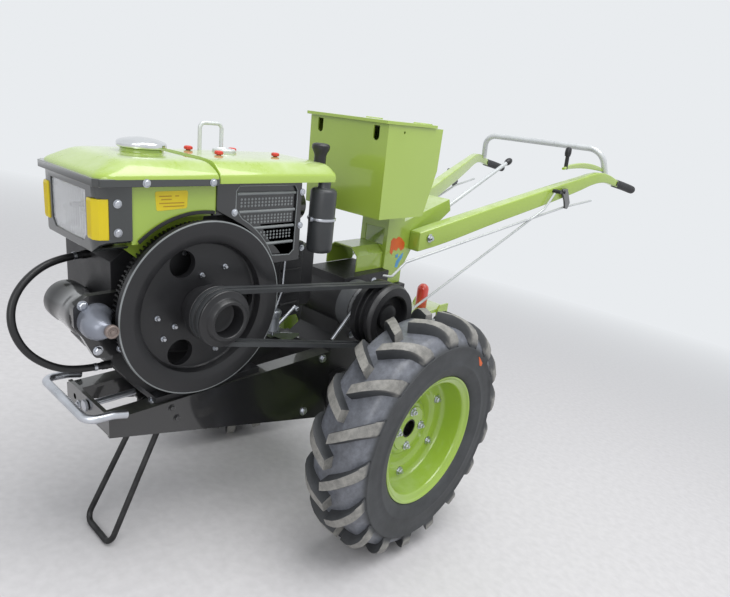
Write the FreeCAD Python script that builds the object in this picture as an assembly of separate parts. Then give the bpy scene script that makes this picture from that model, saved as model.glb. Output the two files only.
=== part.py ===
import FreeCAD, Part
import math
import os

V = FreeCAD.Vector
os.makedirs("parts", exist_ok=True)

# Two-wheel walking tractor, millimetres.
# Body frame while drawing: X forward, Y to the operator's left, Z up,
# origin on the ground under the wheel axle with the engine level.
# At the end everything is turned nose down about the axle until the
# front stand touches the ground, which is how the machine parks.

# Wheels
wheel_r = 320.0
axle_z = wheel_r
track = 700.0
tyre_w = 165.0
rim_r = 172.5
rim_half_w = 66.0
lug_count = 17
lug_lean = 58.0
lug_t = 27.0
wheel_sides = 2 * lug_count
carcass_r = wheel_r - 28.0
disc_y = track / 2 - 14.0
axle_r = 20.0
axle_gap = 0.6
park_tilt = 11.0
# one bar of each tyre's first row stands flat on the ground when parked
wheel_turn = 180.0 - park_tilt

# Chassis
rail_y = 100.0
rail_t = 8.0
rail_top = 462.0
rail_front_x = 668.0
rail_rear_x = 68.0
rail_bottom_front = 423.0
rail_bottom_rear = 262.0
bolt_hole_y = 60.0
bolt_hole_z = 446.0
bolt_hole_r = 6.5
stand_pivot_x = 522.0
stand_pivot_z = 398.0
stand_rod_r = 6.5
stand_foot_x = 656.0

# Engine: its side planes follow from the wheel's inner side
crank_x = 481.0
crank_z = 672.0
pulley_y1 = track / 2 - tyre_w / 2 - 47.5
pulley_y0 = pulley_y1 - 0.1 * track
flywheel_y1 = pulley_y0 - 10.0
flywheel_y0 = flywheel_y1 - 48.0
engine_left = flywheel_y0 - 30.0
engine_right = -140.0
engine_base = rail_top + 14.0
flywheel_r = 182.0
ring_gear_r = 175.0
hub_r = 25.0
drive_pulley_r = 58.0
clutch_x = -30.0
clutch_z = 578.0
clutch_pulley_r = 90.0
clutch_hub_r = 17.0
groove_pitch = 17.0
belt_count = 2
belt_w = 13.0
belt_t = 10.0
belt_gap = 0.9
panel_y = engine_left + 50.0
panel_t = 4.0
strip_z0 = 919.0
strip_z1 = 933.0
bonnet_side = panel_y + 18.0
bonnet_top = 964.0
seam_x = 453.0

# Toolbox
box_half = 141.0
box_t = 4.0
box_bottom = 826.0
box_top = 1064.0
box_rear_x = -249.0
lid_rear_x = -215.0
lid_t = 8.0
lid_gap = 0.5
lid_hinge_x = -221.0
lid_hinge_z = box_top + 6.0
knuckle_r = 5.0

# Handlebars
bar_front = (-290.0, 72.0, 733.0)
bar_bend = (-1105.0, 268.0, 950.0)
bar_end = (-1240.0, 292.0, 930.0)
grip_end = (-1417.0, 304.0, 904.0)


def box(x0, x1, y0, y1, z0, z1):
    return Part.makeBox(x1 - x0, y1 - y0, z1 - z0, V(x0, y0, z0))


def cyl(x, y, z, r, length, axis=(0, 1, 0)):
    return Part.makeCylinder(r, length, V(x, y, z), V(*axis))


def facet(points):
    return Part.Face(Part.makePolygon(points + [points[0]]))


def plate_xz(points, y0, y1):
    return facet([V(x, y0, z) for x, z in points]).extrude(V(0, y1 - y0, 0))


def plate_yz(points, x0, x1):
    return facet([V(x0, y, z) for y, z in points]).extrude(V(x1 - x0, 0, 0))


def plate_xy(points, z0, z1):
    return facet([V(x, y, z0) for x, y in points]).extrude(V(0, 0, z1 - z0))


def solid_from(faces):
    shell = Part.makeShell(faces)
    if Part.makeSolid(shell).Volume < 0:
        shell.reverse()
    return Part.makeSolid(shell).removeSplitter()


def turned(points, x=0.0, z=0.0, sides=28, turn=0.0):
    # points are (radius, y) round a closed outline; the solid is made of flat
    # facets about a line along Y
    def at(point, i):
        a = 2.0 * math.pi * (i % sides) / sides - math.radians(turn)
        return V(x + point[0] * math.cos(a), point[1], z + point[0] * math.sin(a))

    faces = []
    for p, q in zip(points, points[1:] + points[:1]):
        if p[0] == 0 and q[0] == 0:
            continue
        for i in range(sides):
            ring = [at(q, i), at(q, i + 1), at(p, i + 1), at(p, i)]
            if p[0] == 0:
                ring = ring[:3]
            if q[0] == 0:
                ring = ring[1:]
            faces.append(facet(ring))
    return solid_from(faces)


def upright(points, x, y, z, sides=20):
    # points are (radius, height); the same kind of solid about a line along Z
    solid = turned(points, 0.0, 0.0, sides)
    solid.rotate(V(0, 0, 0), V(1, 0, 0), 90)
    solid.translate(V(x, y, z))
    return solid


def join(*shapes):
    first = shapes[0]
    rest = list(shapes[1:])
    return first.multiFuse(rest).removeSplitter() if rest else first


def both_sides(shape):
    return [shape, shape.mirror(V(0, 0, 0), V(0, 1, 0))]


def mirrored(shape):
    return shape.mirror(V(0, 0, 0), V(0, 1, 0))


def rounded_path(points, bend):
    # the corners of a route as short chords of arcs of radius bend
    pts = [V(*p) for p in points]
    path = [pts[0]]
    for i in range(1, len(pts) - 1):
        a = (pts[i - 1] - pts[i]).normalize()
        b = (pts[i + 1] - pts[i]).normalize()
        half = a.getAngle(b) / 2.0
        to_centre = (a + b).normalize() * (bend / math.sin(half))
        centre = pts[i] + to_centre
        start = pts[i] + a * (bend / math.tan(half)) - centre
        end = pts[i] + b * (bend / math.tan(half)) - centre
        swing = start.getAngle(end)
        steps = max(2, round(math.degrees(swing) / 25.0))
        normal = start.cross(end).normalize()
        for k in range(steps + 1):
            turn = FreeCAD.Rotation(normal, math.degrees(swing) * k / steps)
            path.append(centre + turn.multVec(start))
    path.append(pts[-1])
    return path


def bent_rod(points, r, bend, sides=8):
    # a round bar of flat facets through the points, mitred at each chord
    path = rounded_path(points, bend)
    along = (path[1] - path[0]).normalize()
    across = along.cross(V(0, 0, 1))
    if across.Length < 0.1:
        across = along.cross(V(0, 1, 0))
    across.normalize()
    up = across.cross(along)
    section = []
    for i in range(sides):
        a = 2.0 * math.pi * (i + 0.5) / sides
        section.append(path[0] + across * (r * math.cos(a)) + up * (r * math.sin(a)))
    faces = [facet(section)]
    for i in range(1, len(path)):
        along = (path[i] - path[i - 1]).normalize()
        normal = along
        if i < len(path) - 1:
            normal = (along + (path[i + 1] - path[i]).normalize()).normalize()
        ahead = []
        for point in section:
            ahead.append(point + along * ((path[i] - point).dot(normal) / along.dot(normal)))
        for k in range(sides):
            n = (k + 1) % sides
            faces.append(facet([section[k], section[n], ahead[n], ahead[k]]))
        section = ahead
    faces.append(facet(section))
    return solid_from(faces)


def rod(a, b, r):
    return Part.makeCylinder(r, (V(*b) - V(*a)).Length, V(*a), V(*b) - V(*a))


def beam(sections):
    # each section is (x, y, z, half width in y, half depth in z)
    wires = []
    for x, y, z, w, d in sections:
        ring = [V(x, y - w, z - d), V(x, y + w, z - d), V(x, y + w, z + d), V(x, y - w, z + d)]
        wires.append(Part.makePolygon(ring + [ring[0]]))
    return Part.makeLoft(wires, True, True)


def crowned(x0, x1, steps):
    # a rounded-over cover: steps are (z, inset at the sides, inset in front, inset behind)
    wires = []
    for z, side, front, rear in steps:
        y = bonnet_side - side
        ring = [V(x0 + rear, -y, z), V(x1 - front, -y, z), V(x1 - front, y, z), V(x0 + rear, y, z)]
        wires.append(Part.makePolygon(ring + [ring[0]]))
    return Part.makeLoft(wires, True, True)


nodes = {}

# Tyres: a ring of rubber with two rows of slanted bars
half_w = tyre_w / 2.0
side_h = carcass_r - rim_r
carcass_profile = [
    # radius, y from the tyre's middle
    (rim_r, -rim_half_w + 4), (rim_r + 0.23 * side_h, -half_w + 2), (rim_r + 0.52 * side_h, -half_w),
    (rim_r + 0.80 * side_h, -half_w + 8), (rim_r + 0.96 * side_h, -half_w + 24), (carcass_r, 0.0),
    (rim_r + 0.96 * side_h, half_w - 24), (rim_r + 0.80 * side_h, half_w - 8),
    (rim_r + 0.52 * side_h, half_w), (rim_r + 0.23 * side_h, half_w - 2), (rim_r, rim_half_w - 4),
]
lug_outline = [
    # distance from the tyre's middle, radius reached by the bar's top
    (8.0, wheel_r + 0.6), (30.0, wheel_r), (54.0, wheel_r - 8), (half_w - 6, wheel_r - 22), (half_w, wheel_r - 58),
]


def lug(side, angle):
    # a bar from the tread's middle out to the shoulder, leaning back as it goes
    def lean(y):
        return -lug_lean * y / half_w

    outline = [(-4.0, carcass_r - 8), (-4.0, wheel_r)]
    for y, r in lug_outline:
        outline.append((y, min(wheel_r, math.sqrt(r * r - (lean(y) - lug_t / 2) ** 2))))
    outline.append((half_w - 10, wheel_r - 70))
    wall = facet([V(lean(y) - lug_t / 2, side * y, z) for y, z in outline])
    bar = wall.extrude(V(lug_t, 0, 0))
    bar.rotate(V(0, 0, 0), V(0, 1, 0), angle)
    bar.translate(V(0, track / 2, axle_z))
    return bar


carcass = turned([(r, track / 2 + y) for r, y in carcass_profile], 0.0, axle_z, wheel_sides, wheel_turn)
lug_step = 360.0 / lug_count
lugs = []
for i in range(lug_count):
    lugs.append(lug(1, wheel_turn + i * lug_step))
    lugs.append(lug(-1, wheel_turn + (i + 0.5) * lug_step))
nodes["tyre_left"] = join(carcass, *lugs)
nodes["tyre_right"] = mirrored(nodes["tyre_left"])

# Rims: a deep dish, with the disc well inside the outer flange
hub_hole_r = 0.35 * rim_r
rim_profile = [
    # radius, y from the tyre's middle
    (rim_r, rim_half_w), (rim_r - 3, rim_half_w + 2), (rim_r - 8, rim_half_w), (rim_r - 20.5, 34.0),
    (rim_r - 24.5, -6.0), (hub_hole_r, -11.0), (hub_hole_r, -18.0), (rim_r - 24.5, -17.0),
    (rim_r - 20.5, -34.0), (rim_r - 8, -rim_half_w), (rim_r - 3, -rim_half_w - 2), (rim_r, -rim_half_w),
]
nodes["rim_left"] = turned([(r, track / 2 + y) for r, y in rim_profile], 0.0, axle_z, wheel_sides, wheel_turn)
nodes["rim_right"] = mirrored(nodes["rim_left"])

# Wheel axles: hub flange, sleeve and the shaft that enters the final drive
housing_end = track / 2 - 136.0
shaft = cyl(0, 120, axle_z, axle_r, disc_y + 22 - 120)
hub_flange = turned([
    (0.0, disc_y - 14), (hub_hole_r + 18, disc_y - 14), (hub_hole_r + 18, disc_y - 4), (hub_hole_r, disc_y - 4),
    (hub_hole_r, disc_y + 3), (34.0, disc_y + 12), (34.0, disc_y + 24), (0.0, disc_y + 24),
], 0, axle_z, wheel_sides, wheel_turn)
sleeve = turned([(0.0, housing_end + 12), (34.0, housing_end + 12), (34.0, disc_y - 14), (0.0, disc_y - 14)], 0, axle_z, 20)
nodes["axle_left"] = join(shaft, hub_flange, sleeve)
nodes["axle_right"] = mirrored(nodes["axle_left"])

# Chassis frame: two deep tapered side plates, end plates, engine rails
side_points = [(rail_rear_x, rail_bottom_rear), (rail_front_x, rail_bottom_front),
               (rail_front_x, rail_top), (rail_rear_x, rail_top)]
rails = both_sides(plate_xz(side_points, rail_y - rail_t, rail_y))
inner = rail_y - rail_t
front_plate = box(rail_front_x - 8, rail_front_x, -inner, inner, rail_top - 36, rail_top + 9)
rear_plate = box(rail_rear_x, rail_rear_x + 10, -inner, inner, rail_bottom_rear + 8, rail_top)
ledges = both_sides(box(rail_rear_x, rail_front_x - 8, inner - 34, inner, rail_top - 8, rail_top))
pivot_bar = cyl(stand_pivot_x, -inner, stand_pivot_z, 8, 2 * inner)
frame = join(rails[0], rails[1], front_plate, rear_plate, *ledges, pivot_bar)
frame = frame.cut(cyl(rail_front_x - 20, 0, rail_top - 10, 7.4, 40, (1, 0, 0)))
for y in (-bolt_hole_y, bolt_hole_y):
    frame = frame.cut(cyl(rail_front_x - 20, y, bolt_hole_z, bolt_hole_r, 40, (1, 0, 0)))
nodes["chassis_frame"] = frame

bumper = bent_rod([(606, rail_y + 7, 478), (712, rail_y + 7, 478), (712, -rail_y - 7, 478), (606, -rail_y - 7, 478)], 8.4, 26)
pads = both_sides(box(600, 652, rail_y, rail_y + 5, 444, 486))
nodes["bumper_bar"] = join(bumper, *pads)

nodes["engine_adjuster"] = join(cyl(566, 0, rail_top - 10, 7, 110, (1, 0, 0)),
                                cyl(rail_front_x, 0, rail_top - 10, 13, 8, (1, 0, 0)))

# Engine
crankcase_side = [
    # x, z
    (crank_x - 181, engine_base - 2), (560, engine_base - 2), (612, 520), (640, 560), (640, crank_z + 98),
    (600, crank_z + 128), (232, crank_z + 128), (232, 500),
]
crankcase = join(plate_xz(crankcase_side, engine_right, engine_left),
                 box(232, 600, -100, engine_left, crank_z + 128, crank_z + 184))
feet = box(300, 566, -inner, min(inner, engine_left + 30), rail_top, engine_base)
shaft_hole = cyl(crank_x, engine_left - 32, crank_z, hub_r + 0.6, 60)
nodes["engine_block"] = join(crankcase, feet).cut(shaft_hole)

gear_cover_side = [(330, 520), (560, 520), (600, 580), (600, 740), (560, 790), (330, 790), (290, 740), (290, 580)]
nodes["gear_cover"] = plate_xz(gear_cover_side, engine_right - 38, engine_right)

nodes["cylinder_head"] = box(158, 232, -78, engine_left, 576, 768)
nodes["rocker_cover"] = plate_xz([(158, 590), (120, 590), (106, 604), (106, 740), (120, 754), (158, 754)],
                                 -66, engine_left - 12)

# Fuel tank, drawn as the rounded bonnet that it looks like
tank_half = panel_y - 8.0
tank_low = box(455, 650, -tank_half, tank_half, crank_z + 184, strip_z1)
tank_top = crowned(seam_x, 686, [
    # z, side inset, front inset, rear inset
    (strip_z1, 0, 0, 0), (942, 0, 3, 0), (953, 5, 12, 0), (960, 14, 26, 0), (bonnet_top, 28, 46, 0),
])
nodes["fuel_tank"] = join(tank_low, tank_top)

filler_x = 545.0
neck = upright([(0.0, -6), (40, -6), (40, 9), (0, 9)], filler_x, 0, bonnet_top, 24)
nodes["filler_neck"] = neck.cut(nodes["fuel_tank"])
nodes["fuel_cap"] = upright([(0.0, 9), (43, 9), (46, 12), (46, 17), (40, 22), (22, 27), (0, 29)], filler_x, 0, bonnet_top, 24)

# Lamp housing: a shell open to the rear with a brim and two side strips
lamp_x0 = 622.0
lamp_x1 = 686.0
lamp_half = panel_y + 4.0
lamp_low = 802.0


def nose(x1, half, corner):
    # plan of the housing with its front corners cut in two facets each
    return [(lamp_x0, -half), (x1 - corner, -half), (x1 - 0.3 * corner, -half + 0.3 * corner), (x1, -half + corner),
            (x1, half - corner), (x1 - 0.3 * corner, half - 0.3 * corner), (x1 - corner, half), (lamp_x0, half)]


shell = plate_xy(nose(lamp_x1, lamp_half, 18), lamp_low, strip_z1)
hollow = [(x - 4 if x == lamp_x0 else x, y) for x, y in nose(lamp_x1 - 6, lamp_half - 5, 16)]
shell = shell.cut(plate_xy(hollow, lamp_low + 6, strip_z0)).cut(nodes["fuel_tank"])
for y_corner in (-lamp_half, lamp_half):
    inward = -26.0 if y_corner > 0 else 26.0
    corner = [(y_corner * 1.1, lamp_low - 4), (y_corner + inward, lamp_low - 4), (y_corner * 1.1, lamp_low + 30)]
    shell = shell.cut(plate_yz(corner, lamp_x0 - 4, lamp_x1 + 4))
lens_half = lamp_half - 41
lens_outline = [(-lens_half, 830), (-lens_half + 14, 816), (lens_half - 14, 816), (lens_half, 830),
                (lens_half, 907), (-lens_half, 907)]
marker_y = lamp_half - 32
marker_plan = [(lamp_x1 - 22, marker_y), (lamp_x1 + 3, marker_y), (lamp_x1 + 3, marker_y + 20),
               (lamp_x1 - 4, marker_y + 29), (lamp_x1 - 22, lamp_half + 2)]
marker = plate_xy(marker_plan, 826, 897)
shell = shell.cut(plate_yz(lens_outline, lamp_x1 - 20, lamp_x1 + 4))
for hole in both_sides(box(lamp_x1 - 22, lamp_x1 + 4, marker_y, lamp_half + 4, 826, 897)):
    shell = shell.cut(hole)
strips = both_sides(box(seam_x, lamp_x1 - 2, lamp_half - 4, bonnet_side, strip_z0, strip_z1))
brim = plate_xy([(lamp_x1 - 9, -bonnet_side), (lamp_x1 + 6, -bonnet_side + 12), (lamp_x1 + 6, bonnet_side - 12),
                 (lamp_x1 - 9, bonnet_side)], strip_z0, strip_z1)
nodes["lamp_surround"] = join(shell, brim, *strips).cut(nodes["fuel_tank"])
nodes["headlamp"] = plate_yz(lens_outline, lamp_x1 - 30, lamp_x1 - 2)
nodes["marker_lamps"] = Part.makeCompound(both_sides(marker))

# Side panels, the left one arched over the flywheel
arch_r = flywheel_r + 9
panel = box(449, lamp_x0, panel_y - panel_t, panel_y, 812, strip_z0)
panel_left = panel.cut(cyl(crank_x, panel_y - 10, crank_z, arch_r, 20))
lip_y = panel_y - 7.5
lip = cyl(crank_x, lip_y, crank_z, arch_r + 3, panel_y - lip_y).cut(cyl(crank_x, lip_y - 4.5, crank_z, arch_r, 20))
lip = lip.common(box(449, lamp_x0, lip_y - 0.5, panel_y, 812, 870))
nodes["side_panel_left"] = join(panel_left, lip)
nodes["side_panel_right"] = mirrored(panel)

# Radiator behind its grilles, with the rear bonnet over it
nodes["radiator"] = box(240, 449, -tank_half, tank_half, 856, 923)
grille_edge = [(449, 923), (449, 868), (404, 846), (345, 776), (318, 742), (222, 742), (228, 923)]
grille_hole = [(396, 916), (404, 906), (404, 870), (390, 852), (338, 783), (320, 758), (240, 758), (240, 906), (248, 916)]
grille = plate_xz(grille_edge, panel_y - 6, panel_y + 4)
grille = grille.cut(plate_xz(grille_hole, panel_y, panel_y + 10))
bars = []
for z, x_left in ((899, 402), (861, 396), (825, 370), (788, 340)):
    bars.append(box(240, x_left, panel_y - 1, panel_y + 7, z - 2.5, z + 2.5))
grille = join(grille, *bars)
nodes["grille_left"] = grille.cut(cyl(crank_x, panel_y - 10, crank_z, flywheel_r + 5.5, 30))
nodes["grille_right"] = mirrored(plate_xz([(449, 923), (449, 808), (222, 808), (228, 923)], panel_y - 6, panel_y + 4))

nodes["rear_bonnet"] = crowned(130, seam_x, [
    # z, side inset, front inset, rear inset
    (923, 0, 0, 0), (942, 0, 0, 1), (953, 5, 0, 6), (960, 14, 0, 12), (bonnet_top, 28, 0, 22),
])

fittings = []
for x, y, r, h in ((330, -40, 26, 9), (384, 20, 9, 10), (232, 20, 9, 10)):
    fittings.append(upright([(0.0, 0), (r, 0), (r, h - 3), (r - 3, h), (0, h)], x, y, bonnet_top, 16))
nodes["bonnet_fittings"] = Part.makeCompound(fittings)

bail_x0 = 318.0
bail_x1 = 374.0
bail_y = -70.0
bail_z = 1024.0
bail = bent_rod([(bail_x1, bail_y, bonnet_top - 1), (bail_x1, bail_y, bail_z), (bail_x0, bail_y, bail_z),
                 (bail_x0, bail_y, bonnet_top - 1)], 4.5, 12)
nodes["lifting_bail"] = bail.cut(nodes["rear_bonnet"])

# Air cleaner canister with its band, and the intake scoop above the bonnet
cleaner_x = 165.0
cleaner_y = panel_y + 10.0
nodes["air_cleaner"] = upright([
    # radius, height
    (0.0, 0), (22, 0), (29, 6), (31, 12), (31, 76), (34, 78), (34, 84), (31, 86), (31, 142), (27, 150), (15, 153),
    (15, 166), (0, 166),
], cleaner_x, cleaner_y, 757, 20)
hood = upright([(0.0, -8), (14, -8), (14, 16), (21, 30), (21, 38), (14, 42), (0, 42)], 150, 84, bonnet_top, 16)
hood = hood.cut(box(156, 190, 60, 110, bonnet_top + 18, bonnet_top + 36))
nodes["intake_hood"] = hood.cut(nodes["rear_bonnet"])

# Exhaust on the right
muffler = cyl(26, -130, 820, 44, 184, (1, 0, 0))
tail = rod((60, -150, 815), (50, -205, 790), 13)
down = rod((190, -112, 800), (190, -60, 735), 17)
nodes["muffler"] = join(muffler, tail, down).cut(nodes["cylinder_head"])

# Starter motor in front of the flywheel: body, nose casting, stud and bracket
starter_x = 678.0
starter_z = 668.0
starter = turned([(0.0, -60), (40, -60), (40, flywheel_y0 - 26), (33, flywheel_y0 - 14), (31, flywheel_y0 + 8),
                  (22, flywheel_y0 + 24), (0, flywheel_y0 + 24)], starter_x, starter_z, 24)
stud = cyl(660, flywheel_y0 - 14, 652, 12, 38)
starter = join(starter, stud).cut(cyl(crank_x, flywheel_y0 - 20, crank_z, ring_gear_r + 5.5, 90))
mount = plate_xz([(620, 592), (656, 588), (680, 590), (700, 634), (716, 660), (716, 700), (690, 716), (620, 716)],
                 engine_left, engine_left + 16)
nodes["starter_motor"] = join(starter, mount).cut(nodes["engine_block"])

# Flywheel: hub, web with three holes, rim with its ring gear step
web_y = flywheel_y1 - 24
flywheel = turned([(0.0, flywheel_y0), (150, flywheel_y0), (152, flywheel_y0 + 6),
                   (ring_gear_r, flywheel_y0 + 6), (ring_gear_r, flywheel_y0 + 20), (158, flywheel_y0 + 20),
                   (158, flywheel_y1 - 14), (flywheel_r, flywheel_y1 - 14), (flywheel_r, flywheel_y1 - 2),
                   (flywheel_r - 2, flywheel_y1), (150, flywheel_y1), (124, flywheel_y1 - 5), (118, web_y),
                   (0, web_y)], crank_x, crank_z, 44)
flywheel = join(flywheel, cyl(crank_x, flywheel_y0 - 52, crank_z, hub_r, 60))
web_holes = []
for degrees in (-63, 57, 177):
    a = math.radians(degrees)
    web_holes.append(cyl(crank_x + 92 * math.cos(a), flywheel_y0 - 30, crank_z + 92 * math.sin(a), 22, 100))
nodes["flywheel"] = flywheel.cut(Part.makeCompound(web_holes))

belt_y = (pulley_y0 + pulley_y1) / 2.0
groove_ys = [belt_y + (i - (belt_count - 1) / 2.0) * groove_pitch for i in range(belt_count)]


def pulley(x, z, r, y_hub, hub, nose_r, recess_r, recess_y, sides):
    # from the hub's end, out over the grooves, to the recess in the outer face
    floor_r = r - belt_t - belt_gap
    points = [(0.0, y_hub), (hub, y_hub), (hub, pulley_y0), (r, pulley_y0)]
    for y in groove_ys:
        points += [(r, y - 8), (floor_r, y - 6.8), (floor_r, y + 6.8), (r, y + 8)]
    points += [(r, pulley_y1 - 10), (nose_r, pulley_y1), (recess_r, pulley_y1), (recess_r, recess_y), (0.0, recess_y)]
    return turned(points, x, z, sides)


nodes["drive_pulley"] = pulley(crank_x, crank_z, drive_pulley_r, web_y, 44, 46, 27, pulley_y1 - 34, 28)
clutch_pulley = pulley(clutch_x, clutch_z, clutch_pulley_r, pulley_y0 - 10, 30, 84, 60, pulley_y1 - 22, 36)
nodes["clutch_pulley"] = join(clutch_pulley, cyl(clutch_x, pulley_y0 - 40, clutch_z, clutch_hub_r, 50))

# V belts round the two pulleys, each one a flat loop
drive_belt_r = drive_pulley_r - belt_t
clutch_belt_r = clutch_pulley_r - belt_t


def loop(r1, r2):
    # straight runs and two rows of chords, so that the loop stays flat-sided
    dx = clutch_x - crank_x
    dz = clutch_z - crank_z
    base = math.atan2(dz, dx)
    spread = math.acos((r1 - r2) / math.hypot(dx, dz))
    points = []
    for x, z, r, start, end, steps in ((crank_x, crank_z, r1, base + spread, base - spread + 2 * math.pi, 8),
                                       (clutch_x, clutch_z, r2, base - spread, base + spread, 12)):
        for k in range(steps + 1):
            a = start + (end - start) * k / steps
            points.append(V(x + r * math.cos(a), 0, z + r * math.sin(a)))
    return facet(points)


belts = []
chord_room = 1.0 / math.cos(math.pi / 16)
for y in groove_ys:
    outer = loop(drive_pulley_r * chord_room, clutch_pulley_r * chord_room)
    hole = loop(drive_belt_r * chord_room, clutch_belt_r * chord_room)
    belt = outer.cut(hole).extrude(V(0, belt_w, 0))
    belt.translate(V(0, y - belt_w / 2, 0))
    belts.append(belt)
nodes["v_belts"] = Part.makeCompound(belts)

# Gearbox with the clutch drum, the final drive and the rear flange
case_side = [
    # x, z
    (68, axle_z - 58), (68, rail_top), (24, 490), (10, 654), (-175, 654), (-175, 600), (-262, 600), (-262, 548),
    (-190, 500), (-190, axle_z + 60), (-150, axle_z - 20), (-70, axle_z - 88), (52, axle_z - 88),
]
case = plate_xz(case_side, -74, 74)
flange_plate = box(54, rail_rear_x, -92, 92, rail_bottom_rear + 8, rail_top)
final_drive = turned([(0.0, -92), (64, -92), (64, 92), (0, 92)], 0, axle_z, 24)
drum_y1 = pulley_y0 - 24
drum = turned([(0.0, -74), (68, -74), (68, drum_y1 - 6), (62, drum_y1), (40, drum_y1), (40, drum_y1 + 8), (0, drum_y1 + 8)],
              clutch_x, clutch_z, 28)
gearbox = join(case, flange_plate, final_drive, drum)
gearbox = gearbox.cut(cyl(clutch_x, pulley_y0 - 50, clutch_z, clutch_hub_r + 0.6, 80))
gearbox = gearbox.cut(cyl(0, -130, axle_z, axle_r + axle_gap, 260))
nodes["gearbox"] = gearbox
axle_tube = turned([(0.0, 92), (62, 92), (56, 104), (46, 110), (44, housing_end), (0, housing_end)], 0, axle_z, 24)
axle_tube = axle_tube.cut(cyl(0, 80, axle_z, axle_r + axle_gap, housing_end))
nodes["axle_housing_left"] = axle_tube
nodes["axle_housing_right"] = mirrored(axle_tube)

# Post and bracket that carry the toolbox and the handlebars
post_half = 52.0
post_x = -175.0
post_side = [(post_x, 600), (post_x, box_bottom), (-250, box_bottom), (-250, 790), (-470, 850), (-486, 812),
             (-300, 700), (-262, 640), (-262, 600)]
post = plate_xz(post_side, -post_half, post_half)
post_core = plate_xz([(post_x - 6, 590), (post_x - 6, 820), (-244, 820), (-244, 784), (-474, 843), (-492, 808),
                      (-304, 694), (-266, 634), (-266, 590)], -post_half + 6, post_half - 6)
window = box(post_x - 10, post_x + 10, -34, 38, 722, 771)
nodes["handlebar_bracket"] = post.cut(post_core).cut(window)
nodes["front_shield"] = plate_yz([(-78, 654), (-78, 700), (-50, 722), (20, 722), (44, 700), (44, 654), (40, 654),
                                  (40, 698), (18, 718), (-48, 718), (-74, 698), (-74, 654)], post_x + 1, -64)

# Handlebars: deep pressed channels that taper and bend down to the grips
xf, yf, zf = bar_front
xb, yb, zb = bar_bend
xe, ye, ze = bar_end
handle = beam([
    # x, y, z, half width, half depth
    (xf, yf, zf, 20, 30), (-600, 146.6, 816, 19, 29), (-900, 218.8, 896, 17, 26), (-1010, 245.2, 927, 15, 23),
    (-1060, 257.3, 941, 14, 21), (xb, yb, zb, 14, 19), (-1165, 279, 947, 13, 16), (xe, ye, ze, 13, 13),
])
handle = handle.cut(box(-500, -250, 0, post_half, 600, 900))
nodes["handlebar_left"] = handle
nodes["handlebar_right"] = mirrored(handle)
grip = bent_rod([bar_end, ((xe + grip_end[0]) / 2, (ye + grip_end[1]) / 2, (ze + grip_end[2]) / 2 + 1), grip_end], 16, 200, 12)
nodes["grips"] = Part.makeCompound(both_sides(grip.cut(handle)))

guard = bent_rod([(-1180, 270, 950), (-1139, 252, 1050), (-1139, -252, 1050), (-1180, -270, 950)], 11, 66, 10)
nodes["handle_guard"] = guard.cut(nodes["handlebar_left"]).cut(nodes["handlebar_right"])

# Controls: the clutch lever above the left handlebar, turning on a small bracket
lever_y = 246.0
lever = join(beam([(-840, lever_y, 978, 5, 4), (-900, lever_y, 986, 6, 8), (-1010, lever_y + 4, 990, 6, 10),
                   (-1120, lever_y + 10, 982, 6, 8), (-1184, lever_y + 14, 972, 5, 4)]),
             plate_xz([(-836, 888), (-862, 888), (-866, 930), (-896, 986), (-872, 986), (-842, 936)], lever_y - 4, lever_y + 4),
             cyl(-850, 210, 898, 7, 34), rod((-858, lever_y, 980), (-850, lever_y, 1050), 7))
nodes["clutch_lever"] = lever.cut(nodes["handlebar_left"]).cut(nodes["handle_guard"])
hanger_y = 241.0
hanger = plate_xz([(-866, 908), (-914, 908), (-958, 856), (-946, 834), (-928, 836), (-912, 862)], hanger_y, hanger_y + 6)
steer = join(hanger, cyl(-894, 222, 896, 6, hanger_y - 220))
steer_left = steer.cut(handle)
nodes["steering_levers"] = Part.makeCompound(both_sides(steer_left))
gear_rod = join(bent_rod([(-218, 0, 590), (-300, 0, 710), (-900, 0, 966)], 7, 40),
                rod((-890, 0, 961.7), (-924, 0, 976.2), 12))
nodes["gear_lever"] = gear_rod.cut(nodes["gearbox"])
rod_a = bent_rod([(-150, 68, 640), (-168, 92, 640), (-222, 96, 678), (-936, 237.8, 840), (-1115, 262, 862)], 4, 10)
rod_a = rod_a.cut(nodes["gearbox"]).cut(steer_left)

# Toolbox: an open box of sheet with slots, a fixed strip behind and a hinged lid
box_side = [(-22, box_bottom), (-18, box_top), (box_rear_x, box_top), (-248, 952), (-208, box_bottom)]
box_core = [(-26, box_bottom + box_t), (-22, box_top + 5), (box_rear_x + box_t, box_top + 5), (-244, 953),
            (-205, box_bottom + box_t)]
toolbox = plate_xz(box_side, -box_half, box_half)
toolbox = toolbox.cut(plate_xz(box_core, -box_half + box_t, box_half - box_t))
for y in (-102, 102):
    toolbox = toolbox.cut(box(-40, -5, y - 10, y + 10, 1032, 1058)).cut(cyl(-40, y, 1032, 10, 35, (1, 0, 0)))
toolbox = toolbox.cut(cyl(-83, box_half - 10, 1047, 3.5, 20))
rear_strip = box(box_rear_x, lid_hinge_x - 1, -box_half, box_half, box_top - box_t, box_top)
toolbox = join(toolbox, rear_strip)
lid = box(lid_rear_x, -6, -146, 146, box_top + lid_gap, box_top + lid_gap + lid_t)
hinge_ys = (-90.0, 90.0)
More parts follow.
